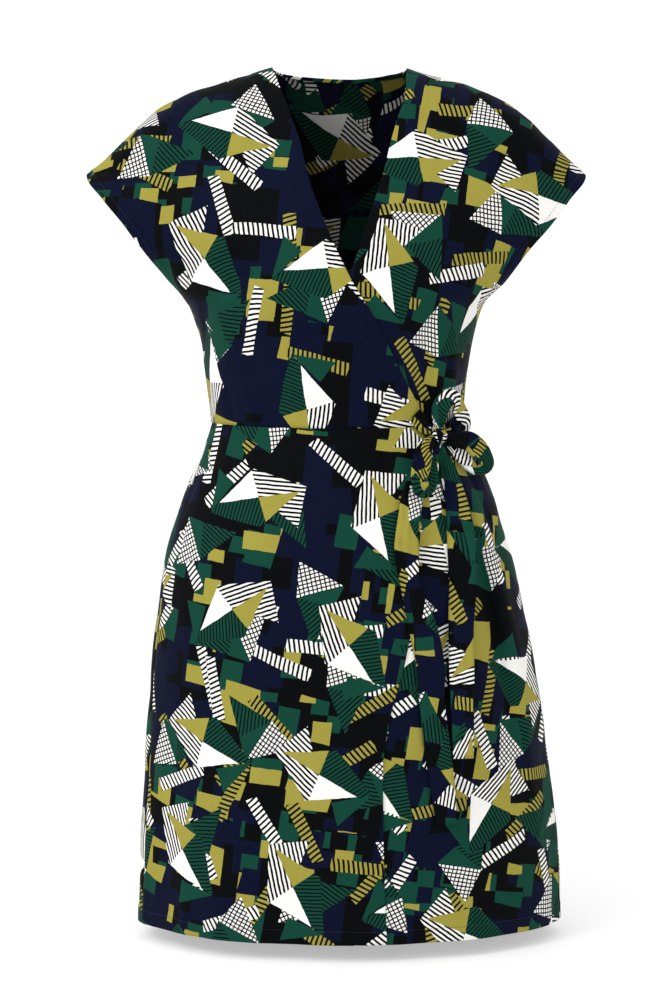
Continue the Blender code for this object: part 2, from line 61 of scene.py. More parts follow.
SLEEVE_RIM = 0.05
TIP_SHARE = 0.03
SLEEVE_BLEND = 0.05
FRONT, BACK = -1, 1

SHEET = 0.0006                 # shown thickness of one layer of cloth
TURN = 0.001                   # a turned hem lies this far inside its panel
SEWN_GAP = 0.00004             # sewn edges all but meet

# z, right half width, left half width, front depth, back depth
RINGS = np.array([
    (0.0, 0.2794, 0.2727, 0.045, 0.06),
    (-0.05, 0.2794, 0.2727, 0.064, 0.081),
    (-0.1155, 0.2794, 0.2727, 0.087, 0.096),
    (-0.145, 0.259, 0.2525, 0.097, 0.1),
    (-0.171, 0.2368, 0.2322, 0.105, 0.101),
    (-0.21, 0.207, 0.1985, 0.113, 0.1),
    (-0.235, 0.188, 0.1822, 0.116, 0.098),
    (-0.262, 0.1664, 0.1585, 0.115, 0.096),
    (-0.299, 0.154, 0.148, 0.107, 0.09),
    (-0.335, 0.149, 0.142, 0.099, 0.084),
    (-0.391, 0.144, 0.137, 0.093, 0.08),
    (-0.4155, 0.1506, 0.144, 0.099, 0.088),
    (-0.46, 0.1686, 0.1666, 0.112, 0.108),
    (-0.498, 0.183, 0.1795, 0.119, 0.122),
    (-0.5555, 0.1977, 0.196, 0.125, 0.13),
    (-0.637, 0.2088, 0.2145, 0.127, 0.131),
    (-0.7235, 0.2152, 0.2288, 0.127, 0.13),
    (-0.8075, 0.2204, 0.24, 0.127, 0.13),
    (-0.8635, 0.2245, 0.2462, 0.127, 0.13),
    (-0.952, 0.228, 0.2505, 0.128, 0.131),
])

# x, z of the shoulder seam
SHOULDER = np.array([
    (NECK_X, 0.0), (0.109, -0.0082), (0.139, -0.0176), (0.173, -0.03), (0.1955, -0.0412),
    (0.2165, -0.057), (0.239, -0.0795), (0.259, -0.0985), (0.2794, TIP_Z),
])

# z, x of the over front's free edge, x of the under front's
EDGES = np.array([
    (0.0, -NECK_X, NECK_X),
    (-0.03, -0.0635, 0.0725),
    (-0.062, -0.0515, 0.0625),
    (-0.085, -0.0433, 0.056),
    (-0.12, -0.0352, 0.0475),
    (-0.173, -0.0165, 0.03),
    (-0.231, 0.01, 0.0103),
    (-0.269, 0.033, -0.012),
    (-0.333, 0.0655, -0.045),
    (WAIST_Z, 0.0905, -0.072),
    (-0.47, 0.087, -0.07),
    (-0.56, 0.0825, -0.068),
    (-0.637, 0.0706, -0.064),
    (-0.71, 0.052, -0.06),
    (-0.76, 0.0458, -0.058),
    (-0.86, 0.047, -0.056),
    (HEM_Z, 0.05, -0.055),
])

# top z, bottom z, angle at the top and bottom, width in degrees, height
SKIRT_FOLDS = [
    (-0.41, -0.74, 46, 36, 6, -0.005),
    (-0.41, -0.8, 36, 24, 7, 0.0045),
    (-0.45, -0.96, 52, 56, 8, 0.003),
    (-0.6, -1.0, 16, 12, 8, -0.004),
    (-0.52, -1.0, 146, 150, 9, -0.0035),
    (-0.6, -1.0, 124, 122, 12, 0.004),
    (-0.66, -1.0, 104, 102, 8, -0.003),
    (-0.5, -1.0, 216, 212, 12, 0.005),
    (-0.44, -0.98, 244, 240, 9, -0.0045),
    (-0.56, -1.0, 272, 274, 12, 0.0045),
    (-0.46, -0.98, 300, 304, 10, -0.005),
    (-0.6, -1.0, 328, 330, 11, 0.004),
]
# The shown cloth's finer creases, in the same columns
SKIRT_CREASES = [
    (-0.4, -0.5, 62, 58, 2.4, -0.0016),
    (-0.4, -0.47, 74, 73, 2.2, -0.0012),
    (-0.4, -0.56, 40, 33, 2.6, 0.002),
    (-0.4, -0.53, 30, 24, 2.4, -0.002),
    (-0.4, -0.47, 20, 17, 2.6, 0.0014),
    (-0.4, -0.46, 96, 97, 2.6, 0.0009),
    (-0.4, -0.48, 118, 121, 2.8, -0.0011),
    (-0.4, -0.45, 139, 142, 2.4, 0.001),
    (-0.4, -0.52, 158, 163, 3.0, -0.0012),
    (-0.4, -0.5, 196, 193, 3.0, 0.0012),
    (-0.4, -0.54, 222, 219, 3.0, -0.0014),
    (-0.4, -0.48, 258, 257, 2.8, 0.0013),
    (-0.4, -0.53, 286, 288, 3.2, -0.0012),
    (-0.4, -0.49, 318, 321, 2.8, 0.0014),
    (-0.4, -0.52, 342, 346, 3.0, -0.0012),
    (-0.45, -0.76, 39, 35, 2.2, -0.0045),
    (-0.5, -0.68, 36.5, 35.5, 1.3, -0.0028),
    (-0.56, -0.95, 68, 64, 5.0, -0.0022),
    (-0.62, -0.9, 30, 26, 3.4, 0.0016),
    (-0.7, -1.0, 74, 77, 4.0, 0.0014),
    (-0.74, -1.0, 88, 90, 3.4, -0.0012),
    (-0.68, -0.98, 134, 137, 3.6, 0.0014),
    (-0.8, -1.0, 160, 161, 4.0, -0.0018),
    (-0.7, -0.99, 226, 228, 4.0, 0.0016),
    (-0.66, -0.97, 262, 260, 4.4, -0.0016),
    (-0.76, -1.0, 288, 290, 3.6, 0.0014),
    (-0.72, -1.0, 314, 316, 4.0, -0.0016),
]

# side, x and z at one end and the other, width, height
BODICE_FOLDS = [
    (FRONT, 0.104, -0.385, 0.126, -0.275, 0.01, 0.004),
    (FRONT, 0.088, -0.38, 0.1, -0.26, 0.01, -0.0035),
    (FRONT, 0.02, -0.385, -0.08, -0.33, 0.013, 0.003),
    (FRONT, -0.06, -0.385, -0.12, -0.27, 0.013, -0.003),
    (BACK, 0.06, -0.385, 0.11, -0.25, 0.016, 0.004),
    (BACK, -0.065, -0.385, -0.115, -0.245, 0.015, 0.004),
    (BACK, 0.0, -0.385, 0.01, -0.27, 0.018, -0.0035),
]
BODICE_CREASES = [
    (FRONT, 0.116, -0.392, 0.128, -0.32, 0.0045, 0.0024),
    (FRONT, 0.098, -0.392, 0.108, -0.3, 0.0042, -0.0022),
    (FRONT, 0.122, -0.392, 0.134, -0.35, 0.004, -0.0016),
    (FRONT, 0.085, -0.392, 0.02, -0.34, 0.005, -0.0016),
    (FRONT, 0.076, -0.392, -0.01, -0.362, 0.0046, 0.0013),
    (FRONT, 0.0, -0.392, -0.03, -0.355, 0.004, -0.0009),
    (FRONT, 0.108, -0.378, 0.12, -0.3, 0.004, -0.0034),
    (FRONT, -0.09, -0.392, -0.108, -0.338, 0.0046, 0.0014),
    (FRONT, -0.112, -0.392, -0.132, -0.33, 0.004, -0.0012),
    (FRONT, -0.15, -0.262, -0.08, -0.215, 0.0075, -0.003),
    (FRONT, -0.162, -0.24, -0.105, -0.18, 0.008, 0.0028),
    (FRONT, 0.144, -0.262, 0.085, -0.21, 0.0075, -0.003),
    (FRONT, 0.158, -0.236, 0.1, -0.175, 0.008, 0.0028),
    (FRONT, -0.215, -0.19, -0.165, -0.105, 0.009, -0.0028),
    (FRONT, 0.208, -0.19, 0.16, -0.1, 0.009, -0.0028),
    (FRONT, -0.235, -0.12, -0.15, -0.06, 0.008, 0.002),
    (FRONT, 0.232, -0.115, 0.15, -0.058, 0.008, 0.002),
    (BACK, 0.11, -0.392, 0.124, -0.32, 0.005, 0.0018),
    (BACK, 0.03, -0.392, 0.036, -0.33, 0.005, 0.0016),
    (BACK, -0.028, -0.392, -0.032, -0.335, 0.005, -0.0014),
    (BACK, -0.1, -0.392, -0.118, -0.325, 0.005, 0.0018),
    (BACK, 0.15, -0.262, 0.085, -0.205, 0.0085, -0.0022),
    (BACK, -0.155, -0.262, -0.088, -0.2, 0.0085, -0.0022),
    (BACK, 0.205, -0.185, 0.12, -0.12, 0.01, 0.0018),
    (BACK, -0.212, -0.185, -0.125, -0.115, 0.01, 0.0018),
]

# Soft unevenness of the cloth: waves per metre along x, y and z, phase, height
UNEVEN = [
    (9.0, 7.0, 2.3, 0.4, 0.0005),
    (-14.0, 11.0, 4.1, 2.1, 0.0004),
    (21.0, -17.0, 6.7, 4.4, 0.00028),
    (5.0, 3.0, -11.0, 1.3, 0.00034),
    (-31.0, 26.0, 12.0, 5.2, 0.00014),
    (17.0, 12.0, -23.0, 3.1, 0.00016),
]

# place seen from the front, distance off the dress, width, turn in degrees
RIBBONS = {
    "tie_strap_front": [
        (0.0915, -0.393, 0.008, 0.014, 0),
        (0.0865, -0.386, 0.0042, 0.017, 0),
        (0.0805, -0.38, 0.003, 0.018, 0),
    ],
    "tie_strap_side": [
        (0.121, -0.3965, 0.0062, 0.017, 0),
        (0.129, -0.393, 0.004, 0.022, 0),
        (0.1355, -0.3915, 0.0022, 0.024, 0),
    ],
    "bow_loop_upper": [
        (0.108, -0.381, 0.017, 0.02, 40),
        (0.1105, -0.369, 0.018, 0.025, 50),
        (0.1175, -0.361, 0.019, 0.026, 55),
        (0.1265, -0.366, 0.019, 0.026, 50),
        (0.133, -0.38, 0.018, 0.025, 45),
        (0.135, -0.393, 0.017, 0.021, 40),
        (0.1265, -0.3985, 0.0165, 0.015, 30),
    ],
    "bow_loop_side": [
        (0.1275, -0.4065, 0.021, 0.017, 5),
        (0.142, -0.409, 0.025, 0.021, 15),
        (0.1545, -0.422, 0.027, 0.022, 20),
        (0.159, -0.4345, 0.022, 0.021, 20),
        (0.15, -0.436, 0.015, 0.02, 10),
        (0.136, -0.426, 0.011, 0.018, 0),
        (0.124, -0.415, 0.01, 0.013, 0),
    ],
    "bow_loop_small": [
        (0.092, -0.414, 0.0215, 0.017, 10),
        (0.0875, -0.433, 0.022, 0.02, 15),
        (0.0855, -0.448, 0.021, 0.019, 10),
        (0.089, -0.459, 0.017, 0.017, 0),
        (0.096, -0.454, 0.012, 0.016, 0),
        (0.0995, -0.436, 0.0105, 0.014, 0),
        (0.102, -0.421, 0.011, 0.011, 0),
    ],
    "tie_tail_long": [
        (0.098, -0.4215, 0.005, 0.012, 0),
        (0.086, -0.441, 0.004, 0.018, 0),
        (0.078, -0.468, 0.0044, 0.024, 10),
        (0.0735, -0.495, 0.0062, 0.023, 14),
        (0.072, -0.523, 0.0062, 0.027, 8),
        (0.0755, -0.56, 0.007, 0.021, -8),
        (0.09, -0.609, 0.007, 0.03, -3),
        (0.098, -0.65, 0.006, 0.03, 0),
        (0.1, -0.69, 0.006, 0.027, 4),
        (0.106, -0.74, 0.0058, 0.028, 0),
        (0.112, -0.785, 0.006, 0.026, -5),
        (0.116, -0.823, 0.0062, 0.022, -8),
    ],
    "tie_tail_short": [
        (0.112, -0.42, 0.008, 0.013, 0),
        (0.119, -0.446, 0.007, 0.02, 0),
        (0.128, -0.482, 0.008, 0.026, 10),
        (0.132, -0.52, 0.0085, 0.031, 0),
        (0.133, -0.56, 0.0085, 0.03, -12),
        (0.131, -0.61, 0.009, 0.027, 0),
        (0.132, -0.66, 0.0112, 0.027, 5),
        (0.133, -0.705, 0.0122, 0.024, 0),
        (0.134, -0.75, 0.0122, 0.022, 0),
    ],
}
LOOPS = ("bow_loop_upper", "bow_loop_side", "bow_loop_small")
KNOT_X, KNOT_Z, KNOT_OFF = 0.1075, -0.402, 0.0125
KNOT_SIZE = np.array([0.0085, 0.0075, 0.0085])
KNOT_END_WIDTH = 0.009


# ---------------------------------------------------------------------------
# Smooth tables and the dress's surface
# ---------------------------------------------------------------------------
def curve(keys, values):
    """A smooth function through the rows that never overshoots them."""
    keys, values = np.asarray(keys, float), np.asarray(values, float)
    if keys[0] > keys[-1]:
        keys, values = keys[::-1], values[::-1]
    spans = np.diff(keys)
    slopes = np.diff(values) / spans
    tangents = np.zeros(len(keys))
    tangents[0], tangents[-1] = slopes[0], slopes[-1]
    before, after = slopes[:-1], slopes[1:]
    same = before * after > 0
    tangents[1:-1][same] = (2 * before * after)[same] / (before + after)[same]

    def value(place):
        place = np.clip(np.asarray(place, float), keys[0], keys[-1])
        i = np.clip(np.searchsorted(keys, place, side="right") - 1, 0, len(spans) - 1)
        t = (place - keys[i]) / spans[i]
        return (
            (1 + 2 * t) * (1 - t) ** 2 * values[i] + t * (1 - t) ** 2 * spans[i] * tangents[i]
            + t * t * (3 - 2 * t) * values[i + 1] - t * t * (1 - t) * spans[i] * tangents[i + 1]
        )

    return value


RIGHT_OF, LEFT_OF, FRONT_OF, BACK_OF = (curve(RINGS[:, 0], RINGS[:, i]) for i in (1, 2, 3, 4))
SHOULDER_OF = curve(SHOULDER[:, 0], SHOULDER[:, 1])
OVER_EDGE, UNDER_EDGE = (curve(EDGES[:, 0], EDGES[:, i]) for i in (1, 2))


def smoothstep(value):
    value = np.clip(value, 0.0, 1.0)
    return value * value * (3 - 2 * value)


def mix(a, b, share):
    return a + (b - a) * share


def half_width(x, z):
    return np.where(np.asarray(x) > 0, LEFT_OF(z), RIGHT_OF(z))


def shoulder_z(x):
    out = np.abs(x)
    stretch = (SHOULDER[-1, 0] - NECK_X) / (half_width(x, TIP_Z) - NECK_X)
    return np.where(out <= NECK_X, 0.0, SHOULDER_OF(NECK_X + (out - NECK_X) * stretch))


def waist_z(side, x):
    dip = WAIST_DIP * (1 - (x / 0.14) ** 2) if side == FRONT else 0.0 * x
    return WAIST_Z - np.maximum(0.0, dip)


def depth(side, x, z):
    full = FRONT_OF(z) if side == FRONT else BACK_OF(z)
    reach = np.minimum(1.0, np.abs(x) / half_width(x, z))
    sleeve = smoothstep((z - UNDERARM_Z) / SLEEVE_BLEND)
    down_hem = np.clip((TIP_Z - z) / (TIP_Z - UNDERARM_Z), 0.0, 1.0)
    rim = SLEEVE_RIM * np.sin(np.pi * mix(TIP_SHARE, 1.0, down_hem)).clip(0.0) ** 0.8
    rim = np.where(z > UNDERARM_Z, rim, 0.0)
    arch = (1 - reach ** SECTION_POWER) ** mix(1 / SECTION_POWER, 1.0, sleeve)
    out = np.maximum(0.0, (np.abs(x) - NECK_X) / (half_width(x, TIP_Z) - NECK_X))
    rolled = np.maximum(0.0, shoulder_z(x) - z) / mix(ROLL, TIP_ROLL, out)
    rolled = rolled + np.maximum(0.0, 1 - np.abs(x) / NECK_X)
    return (rim + (full - rim) * arch) * np.sqrt(1 - (1 - np.minimum(1.0, rolled)) ** 2)


def wrap_lift(layer, x):
    rise = smoothstep((x - WRAP_FROM) / (WRAP_TO - WRAP_FROM))
    return WRAP_GAP * {"over": rise, "under": rise - 1, "none": 0.0 * rise}[layer]


def line_folds(folds, side, x, z):
    """Soft lines between two points, highest at their middles."""
    total = np.zeros_like(x)
    for row_side, x0, z0, x1, z1, width, height in folds:
        if row_side != side:
            continue
        length2 = (x1 - x0) ** 2 + (z1 - z0) ** 2
        share = ((x - x0) * (x1 - x0) + (z - z0) * (z1 - z0)) / length2
        across = np.hypot(x - x0 - share * (x1 - x0), z - z0 - share * (z1 - z0)) / width
        swell = np.sin(np.pi * np.clip(share, 0.0, 1.0))
        total += height * swell * np.exp(-across * across)
    return total


def angle_folds(folds, angle, z):
    """Folds that run down the skirt; those that reach the hem stay open there."""
    total = np.zeros_like(z)
    for top, bottom, top_angle, bottom_angle, width, height in folds:
        share = (top - z) / (top - bottom)
        across = (angle % 360 - mix(top_angle, bottom_angle, share)) / width
        if bottom < HEM_Z:
            swell = smoothstep((top - z) / (top - HEM_Z))
        else:
            swell = np.sin(np.pi * np.clip(share, 0.0, 1.0))
        total += np.where((share > 0) & (share < 1), height * swell, 0.0) * np.exp(-across * across)
    return total


def unevenness(points):
    total = np.zeros(points.shape[:-1])
    for kx, ky, kz, phase, height in UNEVEN:
        wave = kx * points[..., 0] + ky * points[..., 1] + kz * points[..., 2]
        total += height * np.sin(2 * np.pi * wave + phase)
    return total


def normals_of(grid, outward):
    """Unit normals of a grid of points, on the side that outward(points) points to."""
    down, across = np.gradient(grid, axis=0), np.gradient(grid, axis=1)
    normal = np.cross(down, across)
    normal /= np.maximum(np.linalg.norm(normal, axis=-1, keepdims=True), 1e-12)
    turn = np.sign(np.sum(normal * outward(grid), axis=-1).mean())
    return normal * (turn or 1.0)


def unit(vectors):
    return vectors / np.maximum(np.linalg.norm(vectors, axis=-1, keepdims=True), 1e-9)


def lengths(grid, axis):
    steps = np.linalg.norm(np.diff(grid, axis=axis), axis=-1)
    start = np.zeros_like(np.take(steps, [0], axis=axis))
    return np.concatenate([start, np.cumsum(steps, axis=axis)], axis=axis)


# ---------------------------------------------------------------------------
# Panels as grids of points
# ---------------------------------------------------------------------------
ROLL_SHARE, UNDERARM_SHARE = 0.13, 0.62
ROLL_ROWS, SLEEVE_ROWS, SIDE_ROWS = 26, 48, 44
UNDERARM_ROW = ROLL_ROWS + SLEEVE_ROWS
FRONT_COLUMNS, BACK_HALF = 110, 84
NECK_COLUMNS = 25
SKIRT_ROWS, SKIRT_COLUMNS, SKIRT_BACK_COLUMNS = 130, 110, 170
# degrees that the side seams leave the sides by, below the waist, and the height it takes
RIGHT_SWING, LEFT_SWING, SWING_RUN = 13, 2, 0.16
SEAM_SINK, SEAM_WIDTH, SEAM_FADE = 0.0011, 0.0035, 6
PRESS_SLOPE, PRESS_HEIGHT = 0.003, 0.0006        # the soft step where a turned layer ends


def bodice_shares():
    roll = ROLL_SHARE * (1 - np.cos(np.linspace(0, np.pi / 2, ROLL_ROWS, endpoint=False)))
    sleeve = np.linspace(ROLL_SHARE, UNDERARM_SHARE, SLEEVE_ROWS, endpoint=False)
    return np.concatenate([roll, sleeve, np.linspace(UNDERARM_SHARE, 1.0, SIDE_ROWS)])


def outer_z(share):
    sleeve = mix(TIP_Z, UNDERARM_Z, share / UNDERARM_SHARE)
    side = mix(UNDERARM_Z, WAIST_Z, (share - UNDERARM_SHARE) / (1 - UNDERARM_SHARE))
    return np.where(share <= UNDERARM_SHARE, sleeve, side)


def lay_rows(side, x, z, layer):
    """The bodice's surface over a grid of places, with its drapes and creases."""
    grid = np.stack([x, side * depth(side, x, z), z], axis=-1)
    normal = normals_of(grid, lambda p: np.broadcast_to(np.array([0.0, side, 0.0]), p.shape))
    folds = line_folds(BODICE_FOLDS, side, x, z) + line_folds(BODICE_CREASES, side, x, z)
    lift = wrap_lift(layer, x) + folds + unevenness(grid)
    return grid + normal * lift[..., None], normal


def front_panel(hand, layer, edge):
    share = bodice_shares()[:, None]
    even = np.linspace(0.0, 1.0, FRONT_COLUMNS + 1)[None, :]
    reach = mix(even, np.sin(even * np.pi / 2), 0.2 + 0.7 * smoothstep(share / UNDERARM_SHARE))
    inner_z = share * WAIST_Z
    end_z = outer_z(share)
    tip_x = hand * half_width(hand, TIP_Z)
    x = mix(edge(inner_z), hand * half_width(hand, end_z), reach)
    z = mix(inner_z, end_z, reach)
    fade = np.maximum(0.0, 1 - share / UNDERARM_SHARE) ** 2
    z = z + (shoulder_z(mix(hand * NECK_X, tip_x, reach)) - reach * TIP_Z) * fade
    low = smoothstep((share - UNDERARM_SHARE) / (1 - UNDERARM_SHARE))
    z = z + (waist_z(FRONT, x) - WAIST_Z) * low
    return lay_rows(FRONT, x, z, layer)


def back_panel():
    share = bodice_shares()[:, None]
    column = np.arange(BACK_HALF + 1)
    halves = []
    for hand in (-1, 1):
        tip_x = float(half_width(hand, TIP_Z))
        neck = NECK_X * np.sin(np.pi / 2 * np.minimum(1.0, column / NECK_COLUMNS))
        shoulder = mix(NECK_X, tip_x, (column - NECK_COLUMNS) / (BACK_HALF - NECK_COLUMNS))
        top_x = np.where(column <= NECK_COLUMNS, neck, shoulder)[None, :]
        neck_z = -NECK_DROP * (1 - (top_x / NECK_X) ** 2)
        top_z = np.where(column <= NECK_COLUMNS, neck_z, shoulder_z(hand * top_x))
        even = top_x / tip_x
        low = np.sin(column / BACK_HALF * np.pi / 2)[None, :]
        reach = mix(even, low, smoothstep(share / UNDERARM_SHARE))
        end_z = outer_z(share)
        x = hand * half_width(hand, end_z) * reach
        z = mix(mix(-NECK_DROP, WAIST_Z, share), end_z, reach)
        fade = np.maximum(0.0, 1 - share / UNDERARM_SHARE) ** 2
        z = z + (top_z - mix(-NECK_DROP, TIP_Z, even)) * fade
        halves.append((x, z))
    (right_x, right_z), (left_x, left_z) = halves
    x = np.concatenate([right_x[:, ::-1], left_x[:, 1:]], axis=1)
    z = np.concatenate([right_z[:, ::-1], left_z[:, 1:]], axis=1)
    return lay_rows(BACK, x, z, "none")


def front_fullness(reach, hand, z):
    """The skirt's front grows flatter towards its sides as it nears the hem."""
    flatter = np.where(hand > 0, FLATTER_LEFT, FLATTER_RIGHT)
    return 1 - flatter * reach ** 2 * smoothstep((WAIST_Z - z) / (WAIST_Z - HEM_Z))


def ring(angle, z):
    turn = np.radians(angle)
    cos, sin = np.cos(turn), np.sin(turn)
    power = 2 / SECTION_POWER
    reach = np.abs(cos) ** power
    x = np.sign(cos) * reach * half_width(cos, z)
    full = np.where(sin >= 0, FRONT_OF(z) * front_fullness(reach, cos, z), BACK_OF(z))
    y = -np.sign(sin) * np.abs(sin) ** power * full
    return np.stack([x, y, z + 0 * x], axis=-1)


def lay_ring(angle, z, layer, extra=0.0):
    """The skirt's surface at angles and heights, with its folds and creases."""
    base = ring(angle, z)
    around = ring(angle + 0.5, z) - ring(angle - 0.5, z)
    down = ring(angle, z - 0.001) - ring(angle, z + 0.001)
    normal = np.cross(down, around)
    normal /= np.linalg.norm(normal, axis=-1, keepdims=True)
    radial = base * np.array([1.0, 1.0, 0.0])
    normal *= np.sign(np.sum(normal * radial, axis=-1, keepdims=True))
    lift = angle_folds(SKIRT_FOLDS, angle, z) + angle_folds(SKIRT_CREASES, angle, z) + extra
    if layer != "none":
        lift = lift + wrap_lift(layer, base[..., 0])
    return base + normal * (lift + unevenness(base))[..., None], normal


def front_angle(x, z):
    reach = np.minimum(1.0, np.abs(x) / half_width(x, z)) ** (SECTION_POWER / 2)
    return np.degrees(np.arccos(np.sign(x) * reach))


def right_seam(z):
    return 180 - RIGHT_SWING * smoothstep((WAIST_Z - z) / SWING_RUN)


def left_seam(z):
    return LEFT_SWING * smoothstep((WAIST_Z - z) / SWING_RUN)


def skirt_panel(start, stop, columns, layer, side):
    share = (np.linspace(0.0, 1.0, SKIRT_ROWS) ** 1.2)[:, None]
    even = np.linspace(0.0, 1.0, columns + 1)[None, :]
    level = mix(WAIST_Z, HEM_Z, share)
    angle = mix(start(level), stop(level), even)
    z = mix(waist_z(side, ring(angle, level)[..., 0]), HEM_Z, share)
    return lay_ring(angle, z, layer)


# ---------------------------------------------------------------------------
# From grids to cloth
# ---------------------------------------------------------------------------
class Panel:
    """A grid of points with its normals and flat-cloth coordinates in metres."""

    def __init__(self, grid, normal, shift=(0.0, 0.0)):
        self.grid, self.normal = grid, normal
        across, down = grid[..., :2], grid[..., 1:]
        u = grid[:, :1, 0] + lengths(across, 1) * np.sign(grid[0, -1, 0] - grid[0, 0, 0])
        self.uv = np.stack([u, grid[:1, :, 2] - lengths(down, 0)], axis=-1) + np.array(shift)

    def seen_from(self, edge):
        """The grid, normals and coordinates with the edge as their first row."""
        parts = [self.grid, self.normal, self.uv]
        if edge in ("first", "last"):
            parts = [part.transpose(1, 0, 2) for part in parts]
        if edge in ("bottom", "last"):
            parts = [part[::-1] for part in parts]
        return parts

    def sew(self, edge, start=0, stop=None):
        """Draws a sewn edge in, as a seam does, up to a hair from its neighbour."""
        grid, normal, _ = self.seen_from(edge)
        stop = grid.shape[1] if stop is None else stop
        spots = np.arange(grid.shape[1])
        near = np.ones(grid.shape[1])
        if start:
            near *= smoothstep((spots - start) / SEAM_FADE)
        if stop < grid.shape[1]:
            near *= smoothstep((stop - 1 - spots) / SEAM_FADE)
        near *= (spots >= start) & (spots < stop)
        sink = SEAM_SINK * np.exp(-(lengths(grid, 0) / SEAM_WIDTH) ** 2) * near[None, :]
        grid -= normal * sink[..., None]
        step = unit(grid[1] - grid[0])
        grid[0, start:stop] += step[start:stop] * SEWN_GAP / 2

    def press(self, edge, width, height):
        """Raises the cloth a little over the layer turned behind it, as far as its edge."""
        grid, normal, _ = self.seen_from(edge)
        over = 1 - smoothstep((lengths(grid, 0) - width) / PRESS_SLOPE + 0.5)
        grid += normal * (height * over)[..., None]

    def line(self, edge, distance, start=0, stop=None):
        """Points and normals at a distance from an edge, measured on the cloth."""
        grid, normal, _ = (part[:, start:stop] for part in self.seen_from(edge))
        along, spots = lengths(grid, 0), np.arange(grid.shape[1])
        count = np.arange(grid.shape[0])
        place = np.array([np.interp(distance, along[:, i], count) for i in spots])
        low = np.clip(place.astype(int), 0, grid.shape[0] - 2)
        share = (place - low)[:, None]
        return mix(grid[low, spots], grid[low + 1, spots], share), normal[low, spots]

    def turned(self, edge, width, start=0, stop=None, rows=6):
        """The cloth turned to the inside at a free edge: around the fold, then flat behind."""
        grid, normal, uv = (part[:, start:stop] for part in self.seen_from(edge))
        away = unit(grid[0] - grid[1])
        strip = [grid[0]]
        for turn in (45, 90, 135):
            bend = math.radians(turn)
            back = normal[0] * (1 - math.cos(bend))
            strip.append(grid[0] + (away * math.sin(bend) - back) * TURN / 2)
        for row in range(rows + 1):
            point, point_normal = self.line(edge, width * row / rows, start, stop)
            strip.append(point - point_normal * TURN)
        strip = np.array(strip)
        run = unit(uv[0] - uv[1])
        return strip, uv[0] + run * lengths(strip, 0)[..., None]


def placed(name, data):
    obj = bpy.data.objects.new(name, data)
    bpy.context.scene.collection.objects.link(obj)
    return obj


def build(name, patches, materials, outward=None, wall=SHEET):
    """One mesh from grids of points with their coordinates, welded where they meet.

    outward is the first patch's own normals: the cloth's right side, which takes the first
    material while its wrong side takes the second (on the dress's panels, the print with painted shade)."""
    bm = bmesh.new()
    layer = bm.loops.layers.uv.new("cloth")
    for grid, uv in patches:
        rows, columns = grid.shape[:2]
        verts = [[bm.verts.new(grid[r, c]) for c in range(columns)] for r in range(rows)]
        for r in range(rows - 1):
            for c in range(columns - 1):
                corners = ((r, c), (r, c + 1), (r + 1, c + 1), (r + 1, c))
                face = bm.faces.new([verts[i][j] for i, j in corners])
                face.smooth = True
                for loop, (i, j) in zip(face.loops, corners):
                    loop[layer].uv = uv[i, j]
    bmesh.ops.remove_doubles(bm, verts=bm.verts, dist=0.00002)
    bmesh.ops.recalc_face_normals(bm, faces=bm.faces)
    bm.faces.ensure_lookup_table()
    if outward is not None and bm.faces[0].normal.dot(Vector(outward[0, 0] + outward[1, 1])) < 0:
        bmesh.ops.reverse_faces(bm, faces=bm.faces)
    mesh = bpy.data.meshes.new(name)
    bm.to_mesh(mesh)
    bm.free()
    for material in materials:
        mesh.materials.append(material)
    obj = placed(name, mesh)
    thicken = obj.modifiers.new("cloth", "SOLIDIFY")
    thicken.thickness = wall
    thicken.offset = 0.0
    thicken.material_offset = len(materials) - 1
    return obj


STITCH, STITCH_STEP, THREAD = 0.0026, 0.0034, 0.00024


def stitches(name, lines, material):
    """Rows of machine stitches, each a short swelling of thread, on lines of points."""
    verts, faces = [], []
    for points, normals in lines:
        along = lengths(points[:, None], 0)[:, 0]
        total = along[-1]
        count = int(total / STITCH_STEP)
        for number in range(count):
            middle = (number + 0.5) * total / count
            ends = []
            for place in (middle - STITCH / 2, middle, middle + STITCH / 2):
                spot = np.array([np.interp(place, along, points[:, i]) for i in range(3)])
                up = np.array([np.interp(place, along, normals[:, i]) for i in range(3)])
                ends.append((spot, up / np.linalg.norm(up)))
            run = ends[2][0] - ends[0][0]
            side = np.cross(run / np.linalg.norm(run), ends[1][1])
            first = len(verts)
            for (spot, up), size in zip(ends, (0.35, 1.0, 0.35)):
                centre = spot + up * (SHEET / 2 + THREAD * (size - 0.5))
                for spread, rise in ((1, 0), (0, 1), (-1, 0), (0, -1)):
                    verts.append(centre + (side * spread * 1.2 + up * rise) * THREAD * size)
            for r in (0, 4):
                for c in range(4):
                    here, after = first + r + c, first + r + (c + 1) % 4
                    faces.append((here, after, after + 4, here + 4))
            faces.append(tuple(first + i for i in (3, 2, 1, 0)))
            faces.append(tuple(first + i for i in (8, 9, 10, 11)))
    mesh = bpy.data.meshes.new(name)
    mesh.from_pydata([tuple(v) for v in verts], [], faces)
    mesh.shade_smooth()
    mesh.materials.append(material)
    return placed(name, mesh)


def own(obj, slot, *nodes):
    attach(obj, "root")
    if nodes:
        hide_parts(*nodes)
    return obj


# ---------------------------------------------------------------------------
# Materials
# ---------------------------------------------------------------------------
NAVY = (0.0018, 0.0034, 0.0165)
BLACK = (0.0008, 0.0011, 0.0015)
GREEN = (0.0036, 0.046, 0.0285)
MUSTARD = (0.285, 0.25, 0.043)
WHITE = (0.77, 0.76, 0.73)
WEAVE_STEP = 0.0007
INSIDE_PAINTED_SHADE, FACING_PAINTED_SHADE = 0.4, 0.75       # painted shade: shares of the print's colour kept on the dress's inside and on the facings, which lie in shade
